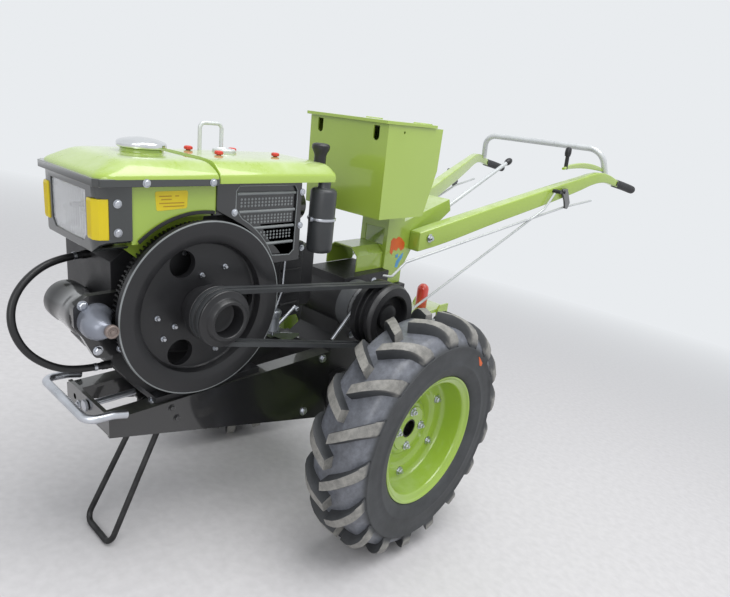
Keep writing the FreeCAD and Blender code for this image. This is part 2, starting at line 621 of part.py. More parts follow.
for y in hinge_ys:
    pin = cyl(lid_hinge_x, y - 12, lid_hinge_z, 2.4, 24)
    leaf = box(lid_hinge_x - 20, lid_hinge_x - 7, y - 30, y + 30, box_top, box_top + 3)
    ears = []
    for y0 in (y - 30, y + 10.5):
        ears.append(join(cyl(lid_hinge_x, y0, lid_hinge_z, knuckle_r, 19.5),
                         box(lid_hinge_x - 8, lid_hinge_x - 1, y0, y0 + 19.5, box_top, lid_hinge_z)))
    toolbox = join(toolbox, leaf, *ears, pin)
    knuckle = join(cyl(lid_hinge_x, y - 10, lid_hinge_z, knuckle_r, 20),
                   box(lid_hinge_x, lid_rear_x + 2, y - 10, y + 10, lid_hinge_z - 2, box_top + lid_gap + lid_t))
    lid = join(lid, knuckle).cut(cyl(lid_hinge_x, y - 11, lid_hinge_z, 2.8, 22))
nodes["toolbox"] = toolbox
nodes["toolbox_lid"] = lid

# Rear hitch: two plates with cheeks at the end, and its pin
hitch_end = -560.0
hitch_w = 48.0
hitch_z = (372.0, 384.0, 452.0, 464.0)
free_bore_x = -400.0
pin_x = -472.0
pin_r = 12.5
pin_head_r = 20.0
hitch = join(box(-206, -190, -60, 60, 350, 500), box(hitch_end, -190, -hitch_w, hitch_w, hitch_z[0], hitch_z[1]),
             box(hitch_end, -190, -hitch_w, hitch_w, hitch_z[2], hitch_z[3]),
             *both_sides(box(-300, -190, hitch_w - 6, hitch_w, hitch_z[1], hitch_z[2])),
             *both_sides(plate_xz([(hitch_end, 436), (hitch_end, 478), (-512, 478), (-500, 464), (-500, 440)],
                                  hitch_w, hitch_w + 8)))
for x in (free_bore_x, pin_x):
    hitch = hitch.cut(cyl(x, 0, 300, pin_r, 300, (0, 0, 1)))
nodes["rear_hitch"] = hitch
rod_b = bent_rod([(-361, 20, 462), (-806, 224, 836), (-838, 236, 892)], 4, 30)
rod_b = rod_b.cut(nodes["rear_hitch"])
nodes["control_rods"] = Part.makeCompound(both_sides(rod_a) + [rod_b])
nodes["hitch_pin"] = join(cyl(pin_x, 0, hitch_z[0] - 16, pin_r, hitch_z[3] - hitch_z[0] + 16, (0, 0, 1)),
                          upright([(0.0, 0), (pin_head_r, 0), (pin_head_r, 76), (pin_head_r - 6, 84), (0, 84)],
                                  pin_x, 0, hitch_z[3], 20))

# Front stand: a U of round bar on two eyes round the pivot bar
t = math.radians(park_tilt)
foot_z = axle_z + (stand_rod_r - axle_z + stand_foot_x * math.sin(t)) / math.cos(t)
eyes = []
for y in (44.0, -44.0):
    eyes.append(cyl(stand_pivot_x, y - 8, stand_pivot_z, 14, 16))
u_bar = bent_rod([(stand_pivot_x + 2, 44, stand_pivot_z - 6), (stand_foot_x, 58, foot_z), (stand_foot_x, -58, foot_z),
                  (stand_pivot_x + 2, -44, stand_pivot_z - 6)], stand_rod_r, 22)
nodes["front_stand"] = join(u_bar, *eyes).cut(cyl(stand_pivot_x, -100, stand_pivot_z, 8.6, 200))

# Free hose in front of the engine, straight runs with tangent arcs
hose_r = 7.0
hose_top = (656.0, -26.0, 764.0)
hose_low = (656.0, 50.0, 558.0)
hose_route = [hose_top, (700, -24, 770), (752, -14, 758), (788, 2, 714), (800, 18, 660), (784, 32, 610),
              (744, 42, 574), (698, 48, 559), hose_low]


def cord(points, r):
    pts = [V(*p) for p in points]
    edges = []
    start = pts[0]
    radii = []
    length = 0.0
    for i in range(1, len(pts) - 1):
        a = pts[i - 1] - pts[i]
        b = pts[i + 1] - pts[i]
        cut = 0.45 * min(a.Length, b.Length)
        a = a.normalize()
        b = b.normalize()
        half_turn = (math.pi - a.getAngle(b)) / 2.0
        bend = cut / math.tan(half_turn)
        radii.append(round(bend, 1))
        p = pts[i] + a * cut
        q = pts[i] + b * cut
        mid_dir = (a + b).normalize()
        m = pts[i] + mid_dir * (bend / math.cos(half_turn) - bend)
        edges.append(Part.makeLine(start, p))
        edges.append(Part.Arc(p, m, q).toShape())
        length += (p - start).Length + 2.0 * half_turn * bend
        start = q
    edges.append(Part.makeLine(start, pts[-1]))
    length += (pts[-1] - start).Length
    ring = Part.Wire([Part.makeCircle(r, pts[0], pts[1] - pts[0])])
    tube = Part.Wire(edges).makePipeShell([ring], True, True)
    print("cord radii", radii, "length", round(length, 1), "volume ratio",
          round(tube.Volume / (math.pi * r * r * length), 4))
    return tube


nodes["drain_hose"] = cord(hose_route, hose_r)
stubs = []
for end, toward in ((hose_top, hose_route[1]), (hose_low, hose_route[-2])):
    start = V(*end)
    back = (start - V(*toward)).normalize()
    stub = Part.makeCylinder(hose_r + 2, 40, start, back)
    stubs.append(stub.cut(nodes["engine_block"]).common(box(636, 700, -60, 90, 540, 800)))
nodes["hose_stubs"] = Part.makeCompound(stubs)

# Turn nose down about the axle, centre along X, and write
shapes = {}
x_low = 1e9
x_high = -1e9
for name, shape in nodes.items():
    moved = shape.copy()
    moved.rotate(V(0, 0, axle_z), V(0, 1, 0), park_tilt)
    shapes[name] = moved
    if name != "drain_hose":
        x_low = min(x_low, moved.BoundBox.XMin)
        x_high = max(x_high, moved.BoundBox.XMax)
x_shift = -(x_low + x_high) / 2.0
for name, shape in shapes.items():
    shape.translate(V(x_shift, 0, 0))
    shape.exportStep("parts/" + name + ".step")
print("x_shift", round(x_shift, 3), "nodes", len(shapes))
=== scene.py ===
import bpy
import bmesh
import math
from mathutils import Matrix, Vector
from mathutils.geometry import tessellate_polygon


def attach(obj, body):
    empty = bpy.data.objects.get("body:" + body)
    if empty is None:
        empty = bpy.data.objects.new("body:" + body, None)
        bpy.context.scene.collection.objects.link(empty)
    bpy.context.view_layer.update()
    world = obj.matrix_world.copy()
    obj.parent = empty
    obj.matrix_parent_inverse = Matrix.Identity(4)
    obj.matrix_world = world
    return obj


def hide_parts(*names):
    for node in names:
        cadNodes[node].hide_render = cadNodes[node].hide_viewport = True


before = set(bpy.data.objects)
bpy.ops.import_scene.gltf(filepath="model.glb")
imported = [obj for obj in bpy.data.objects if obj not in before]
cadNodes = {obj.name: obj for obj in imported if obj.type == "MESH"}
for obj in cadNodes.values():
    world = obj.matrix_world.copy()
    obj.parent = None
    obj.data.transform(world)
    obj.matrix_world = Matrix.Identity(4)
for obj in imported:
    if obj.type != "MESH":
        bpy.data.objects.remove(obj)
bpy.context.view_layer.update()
scene = bpy.context.scene
print("frame loaded,", len(cadNodes), "nodes")

# The tractor is measured level, in millimetres from the ground under its
# axle, and then stands nose down on its front stand
parking = {"tiltDegrees": 11.0, "axleHeight": 320.0, "shiftX": 242.228}
parkMatrix = (Matrix.Translation((parking["shiftX"] / 1000, 0, parking["axleHeight"] / 1000))
              @ Matrix.Rotation(math.radians(parking["tiltDegrees"]), 4, "Y")
              @ Matrix.Translation((0, 0, -parking["axleHeight"] / 1000))
              @ Matrix.Scale(0.001, 4))


def parkedPoint(x, y, z):
    return parkMatrix @ Vector((x, y, z))


def parkedAxis(x, y, z):
    return (parkMatrix.to_3x3() @ Vector((x, y, z))).normalized()


# Camera, from the straight edges of the machine and the ellipse of its rim
camera = {
    "place": (1.466716, 1.07982, 0.86328),
    "right": (-0.637952, 0.732404, 0.237912),
    "up": (0.025000, -0.289086, 0.956977),
    "forward": (-0.769670, -0.616453, -0.166113),
    "lens": 28.10,
}
cameraData = bpy.data.cameras.new("photoCamera")
cameraData.lens = camera["lens"]
cameraData.sensor_width = 36.0
cameraData.clip_start = 0.05
cameraData.clip_end = 60.0
cameraObject = bpy.data.objects.new("photoCamera", cameraData)
scene.collection.objects.link(cameraObject)
turn = Matrix((camera["right"], camera["up"], [-v for v in camera["forward"]])).transposed().to_4x4()
cameraObject.matrix_world = Matrix.Translation(camera["place"]) @ turn
scene.camera = cameraObject
scene.view_settings.view_transform = "Standard"
print("camera placed")


def linear(hexColour):
    # sRGB hex to the linear values that a shader wants
    values = [int(hexColour[i:i + 2], 16) / 255.0 for i in (1, 3, 5)]
    return [v / 12.92 if v <= 0.04045 else ((v + 0.055) / 1.055) ** 2.4 for v in values] + [1.0]


def addNode(tree, kind, given=None):
    # given names an attribute, or an input with its value or what is linked to it
    node = tree.nodes.new(kind)
    for name, value in (given or {}).items():
        if isinstance(value, bpy.types.Node):
            value = value.outputs[0]
        if isinstance(value, bpy.types.NodeSocket):
            tree.links.new(value, node.inputs[name])
        elif isinstance(name, str) and hasattr(node, name):
            setattr(node, name, value)
        else:
            node.inputs[name].default_value = value
    return node


def startMaterial(name):
    # an empty tree and the object's own coordinates
    material = bpy.data.materials.new(name)
    material.use_nodes = True
    tree = material.node_tree
    tree.nodes.clear()
    return material, tree, addNode(tree, "ShaderNodeTexCoord").outputs["Object"]


def endMaterial(material, given):
    shader = addNode(material.node_tree, "ShaderNodeBsdfPrincipled", given)
    addNode(material.node_tree, "ShaderNodeOutputMaterial", {"Surface": shader})
    return material


def clouds(tree, coords, scale, detail, roughness, low, high, colours):
    # soft clouds from one colour to the other, between the noise's low and high
    noise = addNode(tree, "ShaderNodeTexNoise", {"Vector": coords, "Scale": scale, "Detail": detail,
                                                 "Roughness": roughness})
    mixed = addNode(tree, "ShaderNodeValToRGB", {"Fac": noise})
    for element, place, colour in zip(mixed.color_ramp.elements, (low, high), colours):
        element.position = place
        element.color = linear(colour)
    return noise, mixed


def grains(tree, coords, scale, detail, roughness, strength, height):
    # fine bumps, with their height in metres
    noise = addNode(tree, "ShaderNodeTexNoise", {"Vector": coords, "Scale": scale, "Detail": detail,
                                                 "Roughness": roughness})
    return noise, addNode(tree, "ShaderNodeBump", {"Height": noise, "Strength": strength, "Distance": height})


def enamelMaterial(name, first, second, roughness, orangePeel, skySheen):
    # sprayed enamel on pressed sheet: a clear gloss skin, faint orange peel 3 mm across, and a pale painted sky sheen
    # in patches on upward-facing flats
    material, tree, coords = startMaterial(name)
    base = clouds(tree, coords, 3.0, 3.0, 0.6, 0.30, 0.70, (first, second))[1]
    normal = addNode(tree, "ShaderNodeNewGeometry").outputs["Normal"]
    upward = addNode(tree, "ShaderNodeSeparateXYZ", {"Vector": normal}).outputs["Z"]
    flat = addNode(tree, "ShaderNodeMapRange", {"Value": upward, "From Min": 0.55, "From Max": 1.0})
    noise = addNode(tree, "ShaderNodeTexNoise", {"Vector": coords, "Scale": 14.0, "Detail": 6.0, "Roughness": 0.7})
    sheenPatches = addNode(tree, "ShaderNodeMapRange", {"Value": noise, "From Min": 0.35, "From Max": 0.75})
    sheenOnFlats = addNode(tree, "ShaderNodeMath", {"operation": "MULTIPLY", 0: flat, 1: sheenPatches})
    sheenAmount = addNode(tree, "ShaderNodeMath", {"operation": "MULTIPLY", 0: sheenOnFlats, 1: skySheen})
    # the pale #dde5cb mixed in on upward-facing flats is painted sky sheen; it also raises the roughness there
    mixed = addNode(tree, "ShaderNodeMix", {"data_type": "RGBA", 0: sheenAmount, 6: base, 7: linear("#dde5cb")})
    gloss = addNode(tree, "ShaderNodeMath", {"operation": "MULTIPLY_ADD", 0: sheenAmount, 1: 0.35, 2: roughness})
    peel = grains(tree, coords, 330.0, 1.0, 0.5, orangePeel, 0.0004)[1]
    return endMaterial(material, {"Base Color": mixed.outputs[2], "Roughness": gloss, "Normal": peel, "IOR": 1.5,
                                  "Coat Weight": 1.0, "Coat Roughness": 0.06})


def grainyMaterial(name, colours, roughness, metallic, cloud, grain, gloss=None):
    # gloss is the noise's high end and how far the roughness goes down and up with the clouds
    material, tree, coords = startMaterial(name)
    noise, colour = clouds(tree, coords, *cloud, colours)
    bump = grains(tree, coords, *grain)[1]
    if gloss:
        high, down, up = gloss
        roughness = addNode(tree, "ShaderNodeMapRange", {"Value": noise, "From Min": 0.3, "From Max": high,
                                                         "To Min": roughness - down, "To Max": roughness + up})
    return endMaterial(material, {"Base Color": colour, "Roughness": roughness, "Normal": bump, "Metallic": metallic})


def castingMaterial(name, first, second, roughness, grain, metallic=0.0):
    # paint or bare metal over a sand casting: grains about 2 mm across show as fine bumps
    return grainyMaterial(name, (first, second), roughness, metallic, (9.0, 5.0, 0.65, 0.32, 0.68),
                          (420.0, 4.0, 0.65, grain, 0.001), (0.7, 0.08, 0.12))


def platedMaterial(name, first, second, roughness, streaks):
    # plated steel: metallic, with drawing marks about 1 mm apart and faint clouding
    return grainyMaterial(name, (first, second), roughness, 1.0, (24.0, 5.0, 0.7, 0.30, 0.72),
                          (900.0, 2.0, 0.5, streaks, 0.0003), (0.75, 0.0, 0.14))


def plasticMaterial(name, first, second, roughness, grain):
    # moulded plastic or rubber with a fine even grain, about 1.5 mm
    return grainyMaterial(name, (first, second), roughness, 0.0, (18.0, 4.0, 0.5, 0.3, 0.7),
                          (650.0, 2.0, 0.5, grain, 0.0005))


def tyreMaterial(name, edge, scuffAndSkyColour, outerRoughness):
    # natural rubber: beyond the edge radius, in metres, the colour and gloss change, the colour less on walls that
    # face round the wheel: on the lug tops this is the road's scuffing, on the carcass a painted bluish sky reflection
    material, tree, coords = startMaterial(name)
    fromAxle = addNode(tree, "ShaderNodeMapping", {
        "Vector": coords, "Location": (-parking["shiftX"] / 1000, 0.0, -parking["axleHeight"] / 1000)})
    apart = addNode(tree, "ShaderNodeSeparateXYZ", {"Vector": fromAxle})
    x, z = apart.outputs["X"], apart.outputs["Z"]
    flat = addNode(tree, "ShaderNodeCombineXYZ", {"X": x, "Z": z})
    radius = addNode(tree, "ShaderNodeVectorMath", {"operation": "LENGTH", 0: flat}).outputs["Value"]
    beyond = addNode(tree, "ShaderNodeMapRange", {"Value": radius, "From Min": edge, "From Max": edge + 0.012})
    backward = addNode(tree, "ShaderNodeMath", {"operation": "MULTIPLY", 0: x, 1: -1.0})
    roundWheel = addNode(tree, "ShaderNodeCombineXYZ", {"X": z, "Z": backward})
    direction = addNode(tree, "ShaderNodeVectorMath", {"operation": "NORMALIZE", 0: roundWheel})
    ownNormal = addNode(tree, "ShaderNodeTexCoord").outputs["Normal"]
    wall = addNode(tree, "ShaderNodeVectorMath", {"operation": "DOT_PRODUCT", 0: direction, 1: ownNormal})
    steep = addNode(tree, "ShaderNodeMath", {"operation": "ABSOLUTE", 0: wall.outputs["Value"]})
    facing = addNode(tree, "ShaderNodeMapRange", {"Value": steep, "From Min": 0.35, "From Max": 0.75,
                                                  "To Min": 1.0, "To Max": 0.0})
    outward = addNode(tree, "ShaderNodeMath", {"operation": "MULTIPLY", 0: beyond, 1: facing})
    grit, bump = grains(tree, coords, 55.0, 8.0, 0.72, 0.3, 0.001)
    scuffAndSkyPatches = addNode(tree, "ShaderNodeMapRange", {"Value": grit, "From Min": 0.32, "From Max": 0.62,
                                                   "To Min": 0.45, "To Max": 1.0})
    scuffAndSkyMask = addNode(tree, "ShaderNodeMath", {"operation": "MULTIPLY", 0: outward, 1: scuffAndSkyPatches})
    sides = clouds(tree, coords, 12.0, 6.0, 0.7, 0.30, 0.75, ("#2d2f31", "#434548"))[1]
    mixed = addNode(tree, "ShaderNodeMix", {"data_type": "RGBA", 0: scuffAndSkyMask, 6: sides, 7: linear(scuffAndSkyColour)})
    gloss = addNode(tree, "ShaderNodeMapRange", {"Value": beyond, "To Min": 0.60, "To Max": outerRoughness})
    return endMaterial(material, {"Base Color": mixed.outputs[2], "Roughness": gloss, "Normal": bump})


def clearMaterial(name, colour, roughness, transmission):
    # moulded clear plastic with a polished face
    material, tree, coords = startMaterial(name)
    ripple = grains(tree, coords, 60.0, 1.0, 0.5, 0.05, 0.0005)[1]
    return endMaterial(material, {"Base Color": linear(colour), "Roughness": roughness, "Normal": ripple,
                                  "IOR": 1.49, "Transmission Weight": transmission})


finishes, usualSlots = {}, {}
for finish, slot, make, *given in [
        # the last number of each enamel row is how much painted sky sheen lies on its upward-facing flats
        ("limeEnamel", "green_paint", enamelMaterial, "limeEnamel", "#9ab443", "#a2bc4b", 0.26, 0.18, 0.62),
        ("rimEnamel", "green_paint", enamelMaterial, "rimLimeEnamel", "#8cab31", "#95b33a", 0.30, 0.25, 0.25),
        ("blackEnamel", "black_paint", enamelMaterial, "blackEnamel", "#161617", "#202022", 0.30, 0.22, 0.10),
        ("stripEnamel", "black_paint", enamelMaterial, "greyBlackEnamel", "#2c2f2f", "#363939", 0.26, 0.12, 0.32),
        ("redEnamel", "red_paint", enamelMaterial, "redEnamel", "#cf3a30", "#da4638", 0.30, 0.2, 0.10),
        ("blackCasting", "cast_black", castingMaterial, "blackPaintedCasting", "#1a1a1c", "#262628", 0.40, 0.45),
        ("machinedIron", "cast_black", castingMaterial, "blackMachinedIron", "#1d1d1f", "#262628", 0.36, 0.12),
        ("brownIron", "steel_dark", castingMaterial, "rustBrownIron", "#6d625e", "#8d807a", 0.46, 0.3, 0.3),
        ("castAluminium", "aluminium", castingMaterial, "castAluminium", "#80848a", "#959aa0", 0.40, 0.45, 0.85),
        ("zincPlate", "zinc", platedMaterial, "zincPlatedSteel", "#b9bcc2", "#d3d6dc", 0.26, 0.2),
        ("chromePlate", "chrome", platedMaterial, "chromePlatedSteel", "#d8dadc", "#eceeef", 0.10, 0.05),
        ("satinBlack", "black_paint", castingMaterial, "satinBlackPaint", "#313335", "#3c3e40", 0.36, 0.08),
        # grey for light lines: on the flywheel rim and round the grille's recess a painted highlight of the lit edge;
        # on the grille bars and specks partly their own light grey, partly painted highlight
        ("greyEdge", "black_paint", castingMaterial, "greyRubbedPaint", "#6f7374", "#8b8f90", 0.38, 0.1),
        # mid grey on what is a black casting: a painted sky reflection on the clutch drum's rounded top
        ("greyCasting", "cast_black", castingMaterial, "greyPaintedCasting", "#4b4d4f", "#5b5d60", 0.36, 0.3),
        ("noseAluminium", "aluminium", castingMaterial, "noseAluminium", "#7d818c", "#8f939d", 0.34, 0.2, 0.5),
        ("silverPaint", "zinc", castingMaterial, "silverPaint", "#c3c6c8", "#d2d5d6", 0.32, 0.1, 0.25),
        ("darkSteel", "steel_dark", platedMaterial, "blackenedSteel", "#343435", "#4a4a4a", 0.38, 0.3),
        # carcass: #74777f beyond 0.257 m is a painted sky reflection on the tread between the lugs
        ("tyreRubber", "tyre", tyreMaterial, "tyreRubber", 0.257, "#74777f", 0.34),
        ("lugRubber", "tyre", tyreMaterial, "scuffedLugRubber", 0.262, "#94928d", 0.60),
        ("beltRubber", "rubber_black", plasticMaterial, "beltRubber", "#2c2e30", "#3a3c3e", 0.55, 0.4),
        ("hoseRubber", "rubber_black", plasticMaterial, "hoseRubber", "#141415", "#1e1e20", 0.36, 0.25),
        ("blackPlastic", "grip_plastic", plasticMaterial, "blackMouldedPlastic", "#1b1b1d", "#252528", 0.40, 0.4),
        ("redPlastic", "red_paint", plasticMaterial, "redMouldedPlastic", "#c93a30", "#d8473a", 0.35, 0.2),
        ("labelYellow", "amber", plasticMaterial, "yellowPrintedVinyl", "#d3bd1c", "#dcc728", 0.40, 0.1),
        ("labelBrown", "amber", plasticMaterial, "brownPrintedVinyl", "#a8861b", "#b39120", 0.40, 0.1),
        ("labelOrange", "amber", plasticMaterial, "orangePrintedVinyl", "#d1591c", "#df6a28", 0.40, 0.1),
        ("labelBlue", "lens", plasticMaterial, "bluePrintedVinyl", "#4f93c4", "#6aa9d4", 0.40, 0.1),
        ("reflector", "chrome", castingMaterial, "silveredReflector", "#dcdcdf", "#f3f3f5", 0.26, 0.02, 0.35),
        ("amberLens", "amber", clearMaterial, "amberLens", "#e2cb1c", 0.20, 0.12),
        ("clearLens", "lens", clearMaterial, "clearLens", "#f6f7f8", 0.06, 0.80)]:
    finishes[finish] = make(*given)
    usualSlots[finish] = slot
plainNodes = {"side_panel_right": "limeEnamel", "radiator": "blackEnamel", "grille_right": "blackEnamel"}
for name, finish in plainNodes.items():  # these stay as the CAD has them
    cadNodes[name].data.materials.clear()
    cadNodes[name].data.materials.append(finishes[finish])
print("finishes made")

# Shapes are drawn in the tractor's own millimetres and are parked when a piece is finished
acrossAxes = {
    "X": (Vector((0, 1, 0)), Vector((0, 0, 1)), Vector((1, 0, 0))),
    "Y": (Vector((1, 0, 0)), Vector((0, 0, 1)), Vector((0, 1, 0))),
    "Z": (Vector((1, 0, 0)), Vector((0, 1, 0)), Vector((0, 0, 1))),
}


def loftForm(bm, rings, capped=True, closed=False):
    # faces between rings of points; a ring of one point is a pole
    rings = [[bm.verts.new(p) for p in ring] for ring in rings]
    for first, second in zip(rings, rings[1:] + rings[:1] if closed else rings[1:]):
        count = max(len(first), len(second))
        for i in range(count):
            j = (i + 1) % count
            corners = dict.fromkeys([first[i % len(first)], first[j % len(first)],
                                     second[j % len(second)], second[i % len(second)]])
            if len(corners) > 2:
                bm.faces.new(list(corners))
    if capped and not closed:
        bm.faces.new(rings[0])
        bm.faces.new(rings[-1])


def turnedForm(bm, profile, centre, axis="Y", steps=64, closed=False):
    # profile of (radius, distance along the axis)
    across, upward, along = acrossAxes[axis]
    rings = []
    for radius, distance in profile:
        middle = Vector(centre) + along * distance
        angles = [math.tau * i / steps for i in range(steps)]
        rings.append([middle] if radius < 0.01 else
                     [middle + radius * (math.cos(a) * across + math.sin(a) * upward) for a in angles])
    loftForm(bm, rings, False, closed)


def cornerArc(before, corner, after, bend, steps):
    inward = (before - corner).normalized()
    outward = (after - corner).normalized()
    half = inward.angle(outward) / 2
    reach = min(bend / math.tan(half), 0.48 * (before - corner).length, 0.48 * (after - corner).length)
    radius = reach * math.tan(half)
    centre = corner + (inward + outward).normalized() * math.hypot(reach, radius)
    first = (corner + inward * reach - centre).normalized()
    last = (corner + outward * reach - centre).normalized()
    return [centre + radius * first.slerp(last, i / steps) for i in range(steps + 1)]


def bentPath(points, bend, steps=8):
    points = [Vector(p) for p in points]
    path = [points[0]]
    for before, corner, after in zip(points, points[1:], points[2:]):
        path += cornerArc(before, corner, after, bend, steps)
    return path + [points[-1]]


def roundedLoop(points, bend, steps=4):
    # a flat outline with every corner rounded
    corners = [Vector((a, b, 0)) for a, b in points]
    loop = []
    for i, corner in enumerate(corners):
        loop += cornerArc(corners[i - 1], corner, corners[(i + 1) % len(corners)], bend, steps)
    return [(p.x, p.y) for p in loop]


def arcLoop(a, b, radius, start=0.0, end=360.0, steps=32):
    # points of a circle or of an arc, in degrees
    whole = abs(end - start) > 359.9
    angles = [math.radians(start + (end - start) * i / steps) for i in range(steps if whole else steps + 1)]
    return [(a + radius * math.cos(t), b + radius * math.sin(t)) for t in angles]


def plateForm(bm, loops, axis, low, high):
    # an outline and its holes, pushed along the axis from low to high
    across, upward, along = acrossAxes[axis]
    flat = [[across * a + upward * b for a, b in loop] for loop in loops]
    corners = [p for loop in flat for p in loop]
    lower = [bm.verts.new(p + along * low) for p in corners]
    upper = [bm.verts.new(p + along * high) for p in corners]
    for triangle in tessellate_polygon(flat):
        bm.faces.new([lower[i] for i in triangle])
        bm.faces.new([upper[i] for i in reversed(triangle)])
    start = 0
    for loop in flat:
        count = len(loop)
        for i in range(count):
            here, after = start + i, start + (i + 1) % count
            bm.faces.new([lower[here], lower[after], upper[after], upper[here]])
        start += count


def blockForm(bm, x0, x1, y0, y1, z0, z1):
    plateForm(bm, [[(x0, y0), (x1, y0), (x1, y1), (x0, y1)]], "Z", z0, z1)


def sweptForm(bm, path, section, closed=False, up=None):
    # section is a list of offsets, or makes one from the share of the way along
    path = [Vector(p) for p in path]
    rings = []
    normal = Vector(up) if up else None
    for i, place in enumerate(path):
        ahead = path[(i + 1) % len(path)] if closed or i < len(path) - 1 else place
        behind = path[i - 1] if closed or i > 0 else place
        tangent = (ahead - behind).normalized()
        if normal is None:
            normal = tangent.orthogonal()
        normal = (normal - tangent * normal.dot(tangent)).normalized()
        other = tangent.cross(normal)
        offsets = section(i / (len(path) - 1)) if callable(section) else section
        rings.append([place + other * a + normal * b for a, b in offsets])
    loftForm(bm, rings, closed=closed)


def roundSection(radius, sides=16):
    angles = [math.tau * i / sides for i in range(sides)]
    return [(radius * math.cos(a), radius * math.sin(a)) for a in angles]


def boxSection(halfAcross, halfUp, corner, steps=4):
    points = []
    for quarter, (sideA, sideB) in enumerate(((1, 1), (-1, 1), (-1, -1), (1, -1))):
        for i in range(steps + 1):
            t = math.radians(90 * quarter + 90 * i / steps)
            points.append((sideA * (halfAcross - corner) + corner * math.cos(t),
                           sideB * (halfUp - corner) + corner * math.sin(t)))
    return points


def rodForm(bm, points, radius, bend=0.0, sides=16):
    path = bentPath(points, bend) if bend else points
    sweptForm(bm, path, roundSection(radius, sides))


def mirrorForm(bm):
    # the same shapes on the other side of the machine
    twins = bmesh.ops.duplicate(bm, geom=bm.verts[:] + bm.edges[:] + bm.faces[:])["geom"]
    for element in twins:
        if isinstance(element, bmesh.types.BMVert):
            element.co.y = -element.co.y


def addPiece(name, data, body, instead=None):
    # a name that ends in _dressed says which CAD node the piece replaces, unless instead does
    piece = bpy.data.objects.new(name, data)
    scene.collection.objects.link(piece)
    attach(piece, body)
    replaced = instead or name.removesuffix("_dressed")
    if replaced in cadNodes:
        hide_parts(replaced)
    return piece


def finishPiece(name, bm, finish, instead=None, body="chassis", slot=None, bevel=0.0, segments=2, sharp=35.0):
    # bevel is in millimetres and takes every edge sharper than 30 degrees
    bmesh.ops.remove_doubles(bm, verts=bm.verts, dist=0.01)
    if bevel:
        bmesh.ops.dissolve_limit(bm, angle_limit=math.radians(0.6), verts=bm.verts, edges=bm.edges)
    bmesh.ops.recalc_face_normals(bm, faces=bm.faces)
    bm.transform(parkMatrix)
    mesh = bpy.data.meshes.new(name)
    bm.to_mesh(mesh)
    bm.free()
    mesh.shade_smooth()
    mesh.set_sharp_from_angle(angle=math.radians(sharp))
    mesh.materials.append(finishes[finish])
    piece = addPiece(name, mesh, body, instead)
    if bevel:
        rounding = piece.modifiers.new("roundedEdges", "BEVEL")
        rounding.width = bevel / 1000
        rounding.segments = segments
        rounding.limit_method = "ANGLE"
        rounding.angle_limit = math.radians(30)
        rounding.harden_normals = True
        rounding.use_clamp_overlap = True


def makePiece(name, finish, shapes, instead=None, **ending):
    # each shape is a form and what it is given
    bm = bmesh.new()
    for form, *given in shapes:
        form(bm, *given)
    finishPiece(name, bm, finish, instead, **ending)


def dressNode(node, name, finish, bevel, segments=2, body="chassis"):
    # a merged copy of a CAD node, with its edges rounded
    bm = bmesh.new()
    bm.from_mesh(cadNodes[node].data)
    bm.transform(parkMatrix.inverted())
    bmesh.ops.remove_doubles(bm, verts=bm.verts, dist=0.01)
    finishPiece(name + "_dressed", bm, finish, node, body, bevel=bevel, segments=segments)


# Geometry Nodes trees for what repeats
def startTree(name, inputs):
    tree = bpy.data.node_groups.new(name, "GeometryNodeTree")
    for label, kind in {"Geometry": "Geometry", **inputs, "Finish": "Material"}.items():
        tree.interface.new_socket(name=label, in_out="INPUT", socket_type="NodeSocket" + kind)
    tree.interface.new_socket(name="Geometry", in_out="OUTPUT", socket_type="NodeSocketGeometry")
    return tree, addNode(tree, "NodeGroupInput").outputs


def endTree(tree, instances, finish):
    realized = addNode(tree, "GeometryNodeRealizeInstances", {"Geometry": instances})
    painted = addNode(tree, "GeometryNodeSetMaterial", {"Geometry": realized, "Material": finish})
    addNode(tree, "NodeGroupOutput", {0: painted})
    return tree


def grow(tree, mesh, values):
    # the tree's result on a mesh, as a plain mesh
    seed = bpy.data.objects.new("seed", mesh)
    scene.collection.objects.link(seed)
    modifier = seed.modifiers.new("grow", "NODES")
    modifier.node_group = tree
    for item in tree.interface.items_tree:
        if item.in_out == "INPUT" and item.name in values:
            modifier[item.identifier] = values[item.name]
    grown = bpy.data.meshes.new_from_object(seed.evaluated_get(bpy.context.evaluated_depsgraph_get()))
    bpy.data.objects.remove(seed)
    return grown


def makeRingTree():
    # copies of a shape turned step by step about the Y axis
    tree, given = startTree("copiesInARing", {"Copies": "Int", "Step": "Float"})
    places = addNode(tree, "GeometryNodePoints", {"Count": given["Copies"]})
    number = addNode(tree, "GeometryNodeInputIndex")
    angle = addNode(tree, "ShaderNodeMath", {"operation": "MULTIPLY", 0: number, 1: given["Step"]})
    euler = addNode(tree, "ShaderNodeCombineXYZ", {"Y": angle})
    turned = addNode(tree, "FunctionNodeEulerToRotation", {0: euler})
    copies = addNode(tree, "GeometryNodeInstanceOnPoints", {"Points": places, "Instance": given["Geometry"],
                                                            "Rotation": turned})
    return endTree(tree, copies, given["Finish"])


